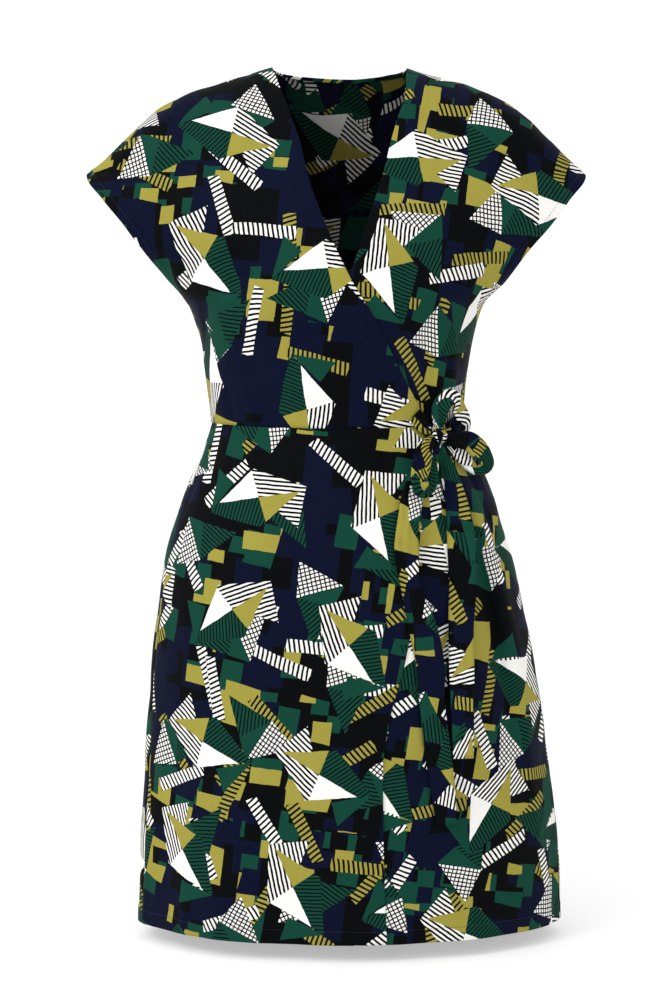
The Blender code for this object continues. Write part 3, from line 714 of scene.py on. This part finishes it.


class Nodes:
    """Short calls that add a node and return its output socket."""

    def __init__(self, tree):
        self.tree = tree

    def add(self, kind, **settings):
        node = self.tree.nodes.new(kind)
        for key, value in settings.items():
            setattr(node, key, value)
        return node

    def feed(self, socket, value):
        if isinstance(value, bpy.types.NodeSocket):
            self.tree.links.new(value, socket)
        elif isinstance(value, tuple) and len(socket.default_value) == 4:
            socket.default_value = (*value, 1.0)
        else:
            socket.default_value = value

    def maths(self, operation, *values):
        node = self.add("ShaderNodeMath", operation=operation)
        for socket, value in zip(node.inputs, values):
            self.feed(socket, value)
        return node.outputs[0]

    def vector(self, operation, *values):
        node = self.add("ShaderNodeVectorMath", operation=operation)
        for socket, value in zip(node.inputs, values):
            self.feed(socket, value)
        return node.outputs["Value" if operation == "DOT_PRODUCT" else "Vector"]

    def dim(self, colour, value):
        node = self.add("ShaderNodeVectorMath", operation="SCALE")
        self.feed(node.inputs[0], colour)
        self.feed(node.inputs["Scale"], value)
        return node.outputs[0]

    def turn(self, vector, angle):
        node = self.add("ShaderNodeVectorRotate", rotation_type="Z_AXIS")
        self.feed(node.inputs["Vector"], vector)
        self.feed(node.inputs["Angle"], angle)
        return node.outputs[0]

    def noise(self, vector, scale, detail=2.0):
        node = self.add("ShaderNodeTexNoise", noise_dimensions="2D")
        self.feed(node.inputs["Vector"], vector)
        node.inputs["Scale"].default_value = scale
        node.inputs["Detail"].default_value = detail
        return node

    def split(self, vector):
        node = self.add("ShaderNodeSeparateXYZ")
        self.feed(node.inputs[0], vector)
        return node.outputs

    def blend(self, factor, below, above):
        node = self.add("ShaderNodeMix", data_type="RGBA")
        self.feed(node.inputs["Factor"], factor)
        colours = [socket for socket in node.inputs if socket.type == "RGBA"]
        self.feed(colours[0], below)
        self.feed(colours[1], above)
        return [socket for socket in node.outputs if socket.type == "RGBA"][0]

    def inside(self, place, corners):
        """1 inside a convex outline of corners in metres; place has 1 as its third part."""
        pairs = list(zip(corners, corners[1:] + corners[:1]))
        facing = math.copysign(1.0, sum(x0 * y1 - x1 * y0 for (x0, y0), (x1, y1) in pairs))
        value = None
        for (x0, y0), (x1, y1) in pairs:
            size = math.hypot(x1 - x0, y1 - y0) * facing
            nx, ny = (y1 - y0) / size, (x0 - x1) / size
            edge = self.vector("DOT_PRODUCT", place, (nx, ny, -(nx * x0 + ny * y0)))
            value = edge if value is None else self.maths("MAXIMUM", value, edge)
        return self.maths("LESS_THAN", value, 0.0)

    def lines(self, place, angle, period, duty):
        """Parallel lines, spaced along the direction of angle: 1 on a line."""
        turn = math.radians(angle)
        run = self.vector("DOT_PRODUCT", place, (math.cos(turn) / period, math.sin(turn) / period, 0.0))
        return self.maths("LESS_THAN", self.maths("FRACT", run), duty)

    def both(self, a, b):
        return self.maths("MULTIPLY", a, b)

    def chance(self, place, sizes, angle, share):
        """1 on a share of the turned blocks of the given width and height."""
        width, height = sizes
        turned = self.turn(place, math.radians(angle))
        scaled = self.vector("MULTIPLY", turned, (1 / width, 1 / height, 0.0))
        luck = self.add("ShaderNodeTexWhiteNoise", noise_dimensions="2D")
        self.feed(luck.inputs["Vector"], self.vector("FLOOR", scaled))
        return self.maths("LESS_THAN", luck.outputs["Value"], share)

    def cells(self, place, size, angle, shift, jitter, spin=1.0):
        """Tiles the cloth in squares and gives each one a turned place of its own."""
        scaled = self.vector("MULTIPLY", self.turn(place, math.radians(angle)), (1 / size, 1 / size, 0.0))
        shifted = self.vector("ADD", scaled, (*shift, 0.0))
        luck = self.add("ShaderNodeTexWhiteNoise", noise_dimensions="2D")
        self.feed(luck.inputs["Vector"], self.vector("FLOOR", shifted))
        wander = self.vector(
            "MULTIPLY_ADD", luck.outputs["Color"], (jitter, jitter, 0.0),
            (-0.5 - jitter / 2, -0.5 - jitter / 2, 0.0),
        )
        local = self.vector("ADD", self.vector("FRACTION", shifted), wander)
        local = self.vector("MULTIPLY", local, (size, size, 0.0))
        local = self.turn(local, self.maths("MULTIPLY", luck.outputs["Value"], 2 * math.pi * spin))
        return self.vector("ADD", local, (0.0, 0.0, 1.0)), self.split(luck.outputs["Color"])


PATCHES = [
    ((0.3, 0.1), [(-0.03, -0.022), (0.022, -0.026), (0.027, 0.02), (-0.025, 0.024)], 0.3),
    ((0.82, 0.58), [(-0.018, -0.034), (0.016, -0.031), (0.014, 0.03), (-0.021, 0.027)], 0.38),
]
BAR = [(-0.036, -0.006), (0.034, -0.0095), (0.036, 0.005), (-0.034, 0.006)]
BARS = [
    (0.092, 31, (0.15, 0.6), 0.16),
    (0.081, -22, (0.62, 0.27), 0.42),
]
BLOCKS = [
    ((0.02, 0.019), 7, 0.46, BLACK),
    ((0.019, 0.018), 7, 0.3, GREEN),
    ((0.0205, 0.0195), 7, 0.34, MUSTARD),
]


def print_group():
    """The printed cloth's colour over flat-cloth coordinates in metres: a loose patchwork
    of squares, striped bars, quartered diamonds and triangles."""
    group = bpy.data.node_groups.new("cloth_print", "ShaderNodeTree")
    group.interface.new_socket("Place", in_out="INPUT", socket_type="NodeSocketVector")
    group.interface.new_socket("Color", in_out="OUTPUT", socket_type="NodeSocketColor")
    n = Nodes(group)
    flat = n.vector("MULTIPLY", n.add("NodeGroupInput").outputs[0], (1.0, 1.0, 0.0))
    wobble = n.vector("SUBTRACT", n.noise(flat, 110.0).outputs["Color"], (0.5, 0.5, 0.5))
    flat = n.vector("MULTIPLY_ADD", wobble, (0.0011, 0.0011, 0.0), flat)

    # a ground of dark blocks, some of them narrow
    colour = n.blend(n.chance(flat, (0.032, 0.04), 6, 0.44), NAVY, BLACK)
    colour = n.blend(n.chance(flat, (0.078, 0.027), -4, 0.2), colour, BLACK)
    colour = n.blend(n.chance(flat, (0.041, 0.064), 8, 0.26), colour, NAVY)
    colour = n.blend(n.chance(flat, (0.024, 0.036), 11, 0.08), colour, GREEN)

    # patches of square blocks in rows
    for shift, shape, share in PATCHES:
        here, luck = n.cells(flat, 0.094, 7, shift, 0.25, 0.02)
        patch = n.both(n.inside(here, shape), n.maths("GREATER_THAN", luck[0], share))
        for size, angle, part, tint in BLOCKS:
            block = n.both(n.chance(flat, size, angle, part), patch)
            colour = n.blend(block, colour, tint)

    # striped bars
    for size, angle, shift, share in BARS:
        here, luck = n.cells(flat, size, angle, shift, 0.1)
        shown = n.both(n.inside(here, BAR), n.maths("GREATER_THAN", luck[1], share))
        tint = n.blend(n.maths("GREATER_THAN", luck[0], 0.5), WHITE, MUSTARD)
        colour = n.blend(shown, colour, BLACK)
        colour = n.blend(n.both(shown, n.lines(here, 12, 0.0052, 0.55)), colour, tint)

    # pairs of triangles
    here, luck = n.cells(flat, 0.104, -19, (0.7, 0.35), 0.08)
    shown = n.maths("GREATER_THAN", luck[2], 0.2)
    sail = n.both(n.inside(here, [(-0.045, -0.012), (0.024, -0.031), (0.003, 0.017)]), shown)
    colour = n.blend(sail, colour, GREEN)
    hatched = n.inside(here, [(-0.045, -0.012), (0.0, -0.0245), (0.003, 0.017)])
    hatch = n.both(n.lines(here, 52, 0.0042, 0.36), hatched)
    colour = n.blend(n.both(hatch, shown), colour, BLACK)
    net = n.both(n.inside(here, [(0.003, 0.017), (0.024, -0.031), (0.042, 0.022)]), shown)
    threads = n.maths("MAXIMUM", n.lines(here, 25, 0.0042, 0.34), n.lines(here, 112, 0.0048, 0.3))
    colour = n.blend(net, colour, WHITE)
    colour = n.blend(n.both(net, threads), colour, BLACK)

    # quartered diamonds between two small wings
    here, luck = n.cells(flat, 0.137, 13, (0.05, 0.45), 0.08)
    diamond = n.inside(here, [(-0.058, 0.002), (-0.004, -0.03), (0.058, -0.003), (0.007, 0.033)])
    x, y, _ = n.split(here)
    right = n.maths("GREATER_THAN", x, 0.004)
    upper = n.maths("GREATER_THAN", n.maths("MULTIPLY_ADD", x, 0.16, y), 0.002)
    striped = n.blend(n.lines(here, 68, 0.0046, 0.5), BLACK, WHITE)
    shaded = n.blend(n.lines(here, -35, 0.004, 0.36), GREEN, BLACK)
    top = n.blend(right, WHITE, striped)
    low = n.blend(right, shaded, MUSTARD)
    colour = n.blend(diamond, colour, n.blend(upper, low, top))
    wing = n.inside(here, [(-0.058, 0.002), (-0.02, 0.0245), (-0.036, 0.046)])
    colour = n.blend(wing, colour, GREEN)
    wing = n.inside(here, [(0.058, -0.003), (0.02, -0.019), (0.036, -0.043)])
    colour = n.blend(wing, colour, striped)

    n.feed(n.add("NodeGroupOutput").inputs[0], colour)
    return group


def fresh_material(name):
    made = bpy.data.materials.new(name)
    made.use_nodes = True
    return made, Nodes(made.node_tree), made.node_tree.nodes["Principled BSDF"]


def cloth_material(name, printed, painted_shade=1.0):
    """Soft printed viscose: a fine plain weave, slubs, and a faint sheen. Its last argument, below 1, dims
    the whole colour as painted shade.
    """
    made, n, shader = fresh_material(name)
    uv = n.add("ShaderNodeUVMap", uv_map="cloth").outputs[0]
    pattern = n.add("ShaderNodeGroup")
    pattern.node_tree = printed
    n.feed(pattern.inputs[0], uv)

    slubs = n.noise(n.vector("MULTIPLY", uv, (1.0, 5.0, 0.0)), 240.0, 3.0).outputs["Fac"]
    cloud = n.noise(uv, 22.0, 2.0).outputs["Fac"]
    # painted shade: the tone, slubs and cloud included, is scaled by the last argument
    tone = n.maths("MULTIPLY_ADD", slubs, 0.22 * painted_shade, 0.82 * painted_shade)
    tone = n.maths("ADD", tone, n.maths("MULTIPLY", cloud, 0.14 * painted_shade))
    n.feed(shader.inputs["Base Color"], n.dim(pattern.outputs[0], tone))

    u, v, _ = n.split(n.vector("MULTIPLY", uv, (math.pi / WEAVE_STEP, math.pi / WEAVE_STEP, 0.0)))
    weave = n.both(n.maths("SINE", u), n.maths("SINE", v))
    height = n.maths("MULTIPLY_ADD", weave, 0.5, n.maths("MULTIPLY", slubs, 1.6))
    bump = n.add("ShaderNodeBump")
    bump.inputs["Strength"].default_value = 0.35
    bump.inputs["Distance"].default_value = 0.00022
    n.feed(bump.inputs["Height"], height)
    n.feed(shader.inputs["Normal"], bump.outputs[0])

    n.feed(shader.inputs["Roughness"], n.maths("MULTIPLY_ADD", slubs, 0.16, 0.6))
    shader.inputs["Specular IOR Level"].default_value = 0.045
    shader.inputs["Sheen Weight"].default_value = 0.012
    shader.inputs["Sheen Roughness"].default_value = 0.45
    return made


def thread_material():
    made, n, shader = fresh_material("sewing_thread")
    place = n.add("ShaderNodeTexCoord").outputs["Object"]
    twist = n.add("ShaderNodeTexNoise")
    n.feed(twist.inputs["Vector"], place)
    twist.inputs["Scale"].default_value = 2200.0
    colour = n.blend(twist.outputs["Fac"], (0.004, 0.005, 0.016), (0.02, 0.022, 0.05))
    n.feed(shader.inputs["Base Color"], colour)
    bump = n.add("ShaderNodeBump")
    bump.inputs["Distance"].default_value = 0.0001
    n.feed(bump.inputs["Height"], twist.outputs["Fac"])
    n.feed(shader.inputs["Normal"], bump.outputs[0])
    shader.inputs["Roughness"].default_value = 0.5
    shader.inputs["Specular IOR Level"].default_value = 0.3
    return made


HEM_TURN, HEM_STITCH = 0.0165, 0.0145
EDGE_TURN, SLEEVE_TURN, NECK_TURN = 0.012, 0.011, 0.0035
FACING_WIDTH, FACING_STOP = 0.024, -0.205
FACING_WALL = 0.0005
HEM_CORNER = 9                 # columns that the hem's turn stops short of a free edge


def bodice(cloth, facing_cloth, thread):
    shoulder = BACK_HALF - NECK_COLUMNS
    neck = dict(start=shoulder, stop=BACK_HALF + NECK_COLUMNS + 1)
    right = Panel(*front_panel(-1, "over", OVER_EDGE), shift=(0.31, 0.07))
    left = Panel(*front_panel(1, "under", UNDER_EDGE), shift=(1.33, 0.52))
    back = Panel(*back_panel(), shift=(2.21, 0.83))
    for panel in (right, left):
        panel.sew("top")
        panel.sew("bottom")
        panel.sew("last", UNDERARM_ROW)
    back.sew("top", stop=shoulder)
    back.sew("top", start=BACK_HALF + NECK_COLUMNS + 1)
    back.sew("bottom")
    back.sew("first", UNDERARM_ROW)
    back.sew("last", UNDERARM_ROW)
    sleeve = dict(start=2, stop=UNDERARM_ROW)
    for name, panel, slot_uv in (("right", right, 0.4), ("left", left, 1.9)):
        panel.press("last", SLEEVE_TURN, PRESS_HEIGHT)
        panel.press("first", FACING_WIDTH, PRESS_HEIGHT)
        hem = panel.turned("last", SLEEVE_TURN, **sleeve)
        edge = panel.turned("first", NECK_TURN)
        piece = build("bodice_front_" + name, [(panel.grid, panel.uv), hem, edge], cloth, panel.normal)
        own(piece, "print_cloth", "bodice_front_" + name)
        rows = stitches(
            "sleeve_stitches_front_" + name,
            [panel.line("last", SLEEVE_TURN - 0.002, **sleeve)], thread,
        )
        own(rows, "print_cloth")
        face = facing(panel, slot_uv)
        piece_face = build("neck_facing_" + name, [face], facing_cloth, wall=FACING_WALL)
        own(piece_face, "facing_cloth", "neck_facing_" + name)
    hems = [back.turned(edge, SLEEVE_TURN, **sleeve) for edge in ("first", "last")]
    hems.append(back.turned("top", NECK_TURN, **neck))
    piece = build("bodice_back", [(back.grid, back.uv), *hems], cloth, back.normal)
    own(piece, "print_cloth", "bodice_back")
    lines = [back.line(edge, SLEEVE_TURN - 0.002, **sleeve) for edge in ("first", "last")]
    rows = own(stitches("sleeve_stitches_back", lines, thread), "print_cloth")


def facing(panel, shift):
    """A band inside a front's free edge, from the shoulder to just above the crossing."""
    stop = int(np.argmax(panel.grid[:, 0, 2] < FACING_STOP))
    rows = []
    for place in np.linspace(0.004, FACING_WIDTH, 9):
        point, normal = panel.line("first", place, 3, stop)
        rows.append(point - normal * (TURN * 0.6 + 0.0012))
    grid = np.array(rows).transpose(1, 0, 2)
    uv = np.stack([lengths(grid, 1) + shift, -lengths(grid, 0)], axis=-1)
    return grid, uv


def skirt(cloth, thread):
    def over_edge(z):
        return front_angle(OVER_EDGE(z), z)

    def under_edge(z):
        return front_angle(UNDER_EDGE(z), z)

    def back_end(z):
        return 360 + left_seam(z)

    right = Panel(*skirt_panel(over_edge, right_seam, SKIRT_COLUMNS, "over", FRONT), shift=(0.9, 3.1))
    left = Panel(*skirt_panel(left_seam, under_edge, SKIRT_COLUMNS, "under", FRONT), shift=(0.2, 4.4))
    back = Panel(*skirt_panel(right_seam, back_end, SKIRT_BACK_COLUMNS, "none", BACK), shift=(0.5, 5.6))
    for panel, sides in ((right, ["last"]), (left, ["first"]), (back, ["first", "last"])):
        for edge in ["top", *sides]:
            panel.sew(edge)
    shown = (
        ("front_right", right, "first", dict(start=HEM_CORNER)),
        ("front_left", left, "last", dict(stop=-HEM_CORNER)),
        ("back", back, None, {}),
    )
    for name, panel, free, reach in shown:
        panel.press("bottom", HEM_TURN, PRESS_HEIGHT)
        patches = [(panel.grid, panel.uv), panel.turned("bottom", HEM_TURN, **reach)]
        if free:
            patches.append(panel.turned(free, EDGE_TURN))
        piece = build("skirt_" + name, patches, cloth, panel.normal)
        own(piece, "print_cloth", "skirt_" + name)
        rows = stitches("hem_stitches_" + name, [panel.line("bottom", HEM_STITCH)], thread)
        own(rows, "print_cloth")


# ---------------------------------------------------------------------------
# The tied bow
# ---------------------------------------------------------------------------
RIBBON_STEPS, RIBBON_ACROSS = 9, 12
TIE_WALL = 0.0011              # two layers pressed together


def dress_point(x, z, off):
    """A point of the outer cloth at a place, pushed out by off."""
    if z <= WAIST_Z:
        return lay_ring(np.array(front_angle(x, z)), np.array(z), "over", off)[0]
    step = 0.001

    def base(a, b):
        return float(depth(FRONT, np.array(a), np.array(b)))

    slope_x = (base(x + step, z) - base(x - step, z)) / (2 * step)
    slope_z = (base(x, z + step) - base(x, z - step)) / (2 * step)
    outward = np.array([-slope_x, -1.0, -slope_z])
    outward /= np.linalg.norm(outward)
    point = np.array([x, -base(x, z), z])
    where = np.array([x]), np.array([z])
    lift = wrap_lift("over", x) + line_folds(BODICE_FOLDS, FRONT, *where)[0] + off
    return point + outward * (lift + line_folds(BODICE_CREASES, FRONT, *where)[0])


def seen_at(x, z, off):
    """The point off the dress that is seen at (x, z) from the front."""
    base_x, base_z = x, z
    for _ in range(4):
        point = dress_point(base_x, base_z, off)
        base_x += x - point[0]
        base_z += z - point[2]
    return dress_point(base_x, base_z, off)


def at_knot(centre, towards):
    direction = (towards - centre) / np.linalg.norm(towards - centre)
    return centre + direction * (1 / np.linalg.norm(direction / KNOT_SIZE) - 0.0015)


def ribbon(name, centre):
    """A pressed tie along its centre line, softly cupped and a little uneven."""
    rows = list(RIBBONS[name])
    points = [seen_at(x, z, off) for x, z, off, _, _ in rows]
    outward = [seen_at(x, z, off + 0.001) - point for (x, z, off, _, _), point in zip(rows, points)]
    sizes = [(width, turn) for _, _, _, width, turn in rows]
    ends = (0, -1) if name in LOOPS else (0,)
    for end in ends:
        seat = at_knot(centre, points[end])
        place = 0 if end == 0 else len(points)
        points.insert(place, seat)
        outward.insert(place, outward[end])
        sizes.insert(place, (KNOT_END_WIDTH, sizes[end][1] / 2))
    keys = np.arange(len(points), dtype=float)
    fine = np.linspace(0, keys[-1], (len(points) - 1) * RIBBON_STEPS + 1)
    centre_line = np.stack([smooth(keys, [p[i] for p in points], fine) for i in range(3)], axis=-1)
    out = np.stack([smooth(keys, [p[i] for p in outward], fine) for i in range(3)], axis=-1)
    width, turn = (smooth(keys, [size[i] for size in sizes], fine) for i in range(2))
    along = np.gradient(centre_line, axis=0)
    across = unit(np.cross(along, out))
    face = unit(np.cross(across, along))
    turn = np.radians(turn)[:, None]
    spread = across * np.cos(turn) + face * np.sin(turn)
    up = unit(np.cross(unit(along), spread))
    up *= np.sign(np.sum(up * out, axis=-1, keepdims=True))
    side = np.linspace(-0.5, 0.5, RIBBON_ACROSS + 1)
    run = lengths(centre_line[:, None], 0)[:, 0]
    ripple = 0.0012 * np.sin(run[:, None] * 95 + side[None, :] * 3.0) * np.abs(side[None, :]) * 2
    rumple = 0.0006 * np.sin(run[:, None] * 230 + side[None, :] * 9.0 + 1.3)
    crease = 0.0005 * np.cos(side * 17)[None, :]
    cup = 0.0016 * (0.25 - side ** 2)[None, :] * 4 + ripple + rumple + crease
    near = smoothstep((run[-1] - np.abs(run - run[-1] / 2) - run[-1] / 2) / 0.02)[:, None]
    pleat = 0.0009 * np.sin(side * 22)[None, :] * (1 - near) * (width[:, None] < 0.02)
    grid = centre_line[:, None] + spread[:, None] * (side[None, :, None] * width[:, None, None])
    grid = grid + up[:, None] * (cup * near + pleat)[..., None]
    return grid, side, run


def smooth(keys, values, places):
    """A natural curve through values, read at places."""
    keys, values = np.asarray(keys), np.asarray(values, float)
    tangents = np.gradient(values, keys)
    i = np.clip(np.searchsorted(keys, places, side="right") - 1, 0, len(keys) - 2)
    t = places - keys[i]
    return (
        (1 + 2 * t) * (1 - t) ** 2 * values[i] + t * (1 - t) ** 2 * tangents[i]
        + t * t * (3 - 2 * t) * values[i + 1] - t * t * (1 - t) * tangents[i + 1]
    )


def knot(centre, material):
    """The tie wound once over itself: a creased band with drawn-in ends."""
    around = np.linspace(0.0, 2 * math.pi * 1.06, 61)[:, None]
    side = np.linspace(-1.0, 1.0, 21)[None, :]
    swell = np.cos(side * 1.25) ** 0.7
    crease = 1 - 0.07 * np.cos(side * 13 + 1.8 * np.sin(around)) - 0.05 * np.sin(around * 3 + side * 2)
    lift = 1.0 + 0.05 * around / (2 * math.pi)
    size = swell * crease * lift
    across = np.array([0.86, 0.0, 0.51])
    first = np.array([-0.51, 0.0, 0.86])
    second = np.array([0.0, -1.0, 0.0])
    grid = (
        centre + (across * (side * KNOT_SIZE[0] * 1.02)[..., None])
        + first * (np.cos(around) * size * KNOT_SIZE[2] * 0.98)[..., None]
        + second * (np.sin(around) * size * KNOT_SIZE[1] * 1.02)[..., None]
    )
    uv = np.stack([side * 0.011 + 0 * around + 0.35, around * 0.008 + 0 * side + 7.1], axis=-1)
    return build("bow_knot", [(grid, uv)], [material])


def ties(material):
    centre = seen_at(KNOT_X, KNOT_Z, KNOT_OFF)
    for number, name in enumerate(RIBBONS):
        grid, side, run = ribbon(name, centre)
        u = 0.03 * side[None, :] + 0 * run[:, None] + 0.2 * number
        uv = np.stack([u, run[:, None] + 0 * u + 6.0 + 0.37 * number], axis=-1)
        tie = build(name, [(grid, uv)], [material], wall=TIE_WALL)
        own(tie, "tie_cloth", name)
    own(knot(centre, material), "tie_cloth", "bow_knot")


# ---------------------------------------------------------------------------
# Stage, lights and camera
# ---------------------------------------------------------------------------
SKY_BRIGHTEST = (-0.55, -0.6, 0.58)
SKY_LEAST, SKY_RANGE, SKY_FALL = 0.74, 0.8, 1.6
# name, place, power in watts, size
LAMPS = [("key", (-2.1, -2.2, 1.7), 32.0, 1.1), ("fill", (2.2, -2.2, 0.2), 3.0, 1.6)]
WALL_TOP = 0.2                 # sine of the height that the white wall behind rises to
FLOOR_BELOW = 0.02
FLOOR_GLOW = 0.38              # a floor lit from below, so that the shadow on it stays faint


def studio():
    bm = bmesh.new()
    bmesh.ops.create_circle(bm, cap_ends=True, radius=9.0, segments=96)
    mesh = bpy.data.meshes.new("floor")
    bm.to_mesh(mesh)
    bm.free()
    floor = placed("floor", mesh)
    floor.location = (0.0, 0.0, HEM_Z - FLOOR_BELOW)
    pale, n, shader = fresh_material("floor_paint")
    spots = n.add("ShaderNodeTexNoise")
    n.feed(spots.inputs["Vector"], n.add("ShaderNodeTexCoord").outputs["Object"])
    spots.inputs["Scale"].default_value = 1.5
    paint = n.blend(spots.outputs["Fac"], (0.6, 0.6, 0.6), (0.62, 0.62, 0.62))
    n.feed(shader.inputs["Base Color"], paint)
    shader.inputs["Emission Color"].default_value = (1.0, 1.0, 1.0, 1.0)
    shader.inputs["Emission Strength"].default_value = FLOOR_GLOW
    shader.inputs["Roughness"].default_value = 0.9
    shader.inputs["Specular IOR Level"].default_value = 0.1
    mesh.materials.append(pale)

    world = bpy.data.worlds.new("studio")
    bpy.context.scene.world = world
    world.use_nodes = True
    n = Nodes(world.node_tree)
    towards = n.vector("NORMALIZE", n.add("ShaderNodeTexCoord").outputs["Generated"])
    near = n.maths("MAXIMUM", n.vector("DOT_PRODUCT", towards, SKY_BRIGHTEST), 0.0)
    dome = n.maths("MULTIPLY_ADD", n.maths("POWER", near, SKY_FALL), SKY_RANGE, SKY_LEAST)
    height = n.maths("ABSOLUTE", n.split(towards)[2])
    behind = n.maths("LESS_THAN", height, WALL_TOP)
    level = n.maths("ADD", n.both(behind, n.maths("SUBTRACT", 1.0, dome)), dome)
    background = world.node_tree.nodes["Background"]
    background.inputs["Color"].default_value = (1.0, 1.0, 1.0, 1.0)
    n.feed(background.inputs["Strength"], level)

    for name, place, power, size in LAMPS:
        light = bpy.data.lights.new(name, "AREA")
        light.energy = power
        light.size = size
        lamp = placed(name, light)
        lamp.location = place
        aim = Vector((0.0, 0.0, -0.45)) - Vector(place)
        lamp.rotation_euler = aim.to_track_quat("-Z", "Y").to_euler()


CAMERA_PLACE = (-0.0039, -2.8, -0.28)
CAMERA_TARGET = (-0.0039, 0.0, -0.4825)
CAMERA_LENS = 89.5
EXPOSURE = 0.12


def camera():
    data = bpy.data.cameras.new("camera")
    data.sensor_fit = "VERTICAL"
    data.sensor_height = 36.0
    data.lens = CAMERA_LENS
    eye = placed("camera", data)
    eye.location = CAMERA_PLACE
    aim = Vector(CAMERA_TARGET) - Vector(CAMERA_PLACE)
    eye.rotation_euler = aim.to_track_quat("-Z", "Y").to_euler()
    bpy.context.scene.camera = eye
    bpy.context.scene.view_settings.view_transform = "Standard"
    bpy.context.scene.view_settings.exposure = EXPOSURE


def main():
    camera()
    studio()
    printed = print_group()
    thread = thread_material()
    # The inside's and the facings' copies of the print carry painted shade: their colour is dimmed
    cloth = [
        cloth_material("printed_viscose", printed),
        cloth_material("printed_viscose_inside_painted_shade", printed, INSIDE_PAINTED_SHADE),
    ]
    bodice(cloth, [cloth_material("facing_viscose_painted_shade", printed, FACING_PAINTED_SHADE)], thread)
    skirt(cloth, thread)
    ties(cloth_material("tie_viscose", printed))


main()
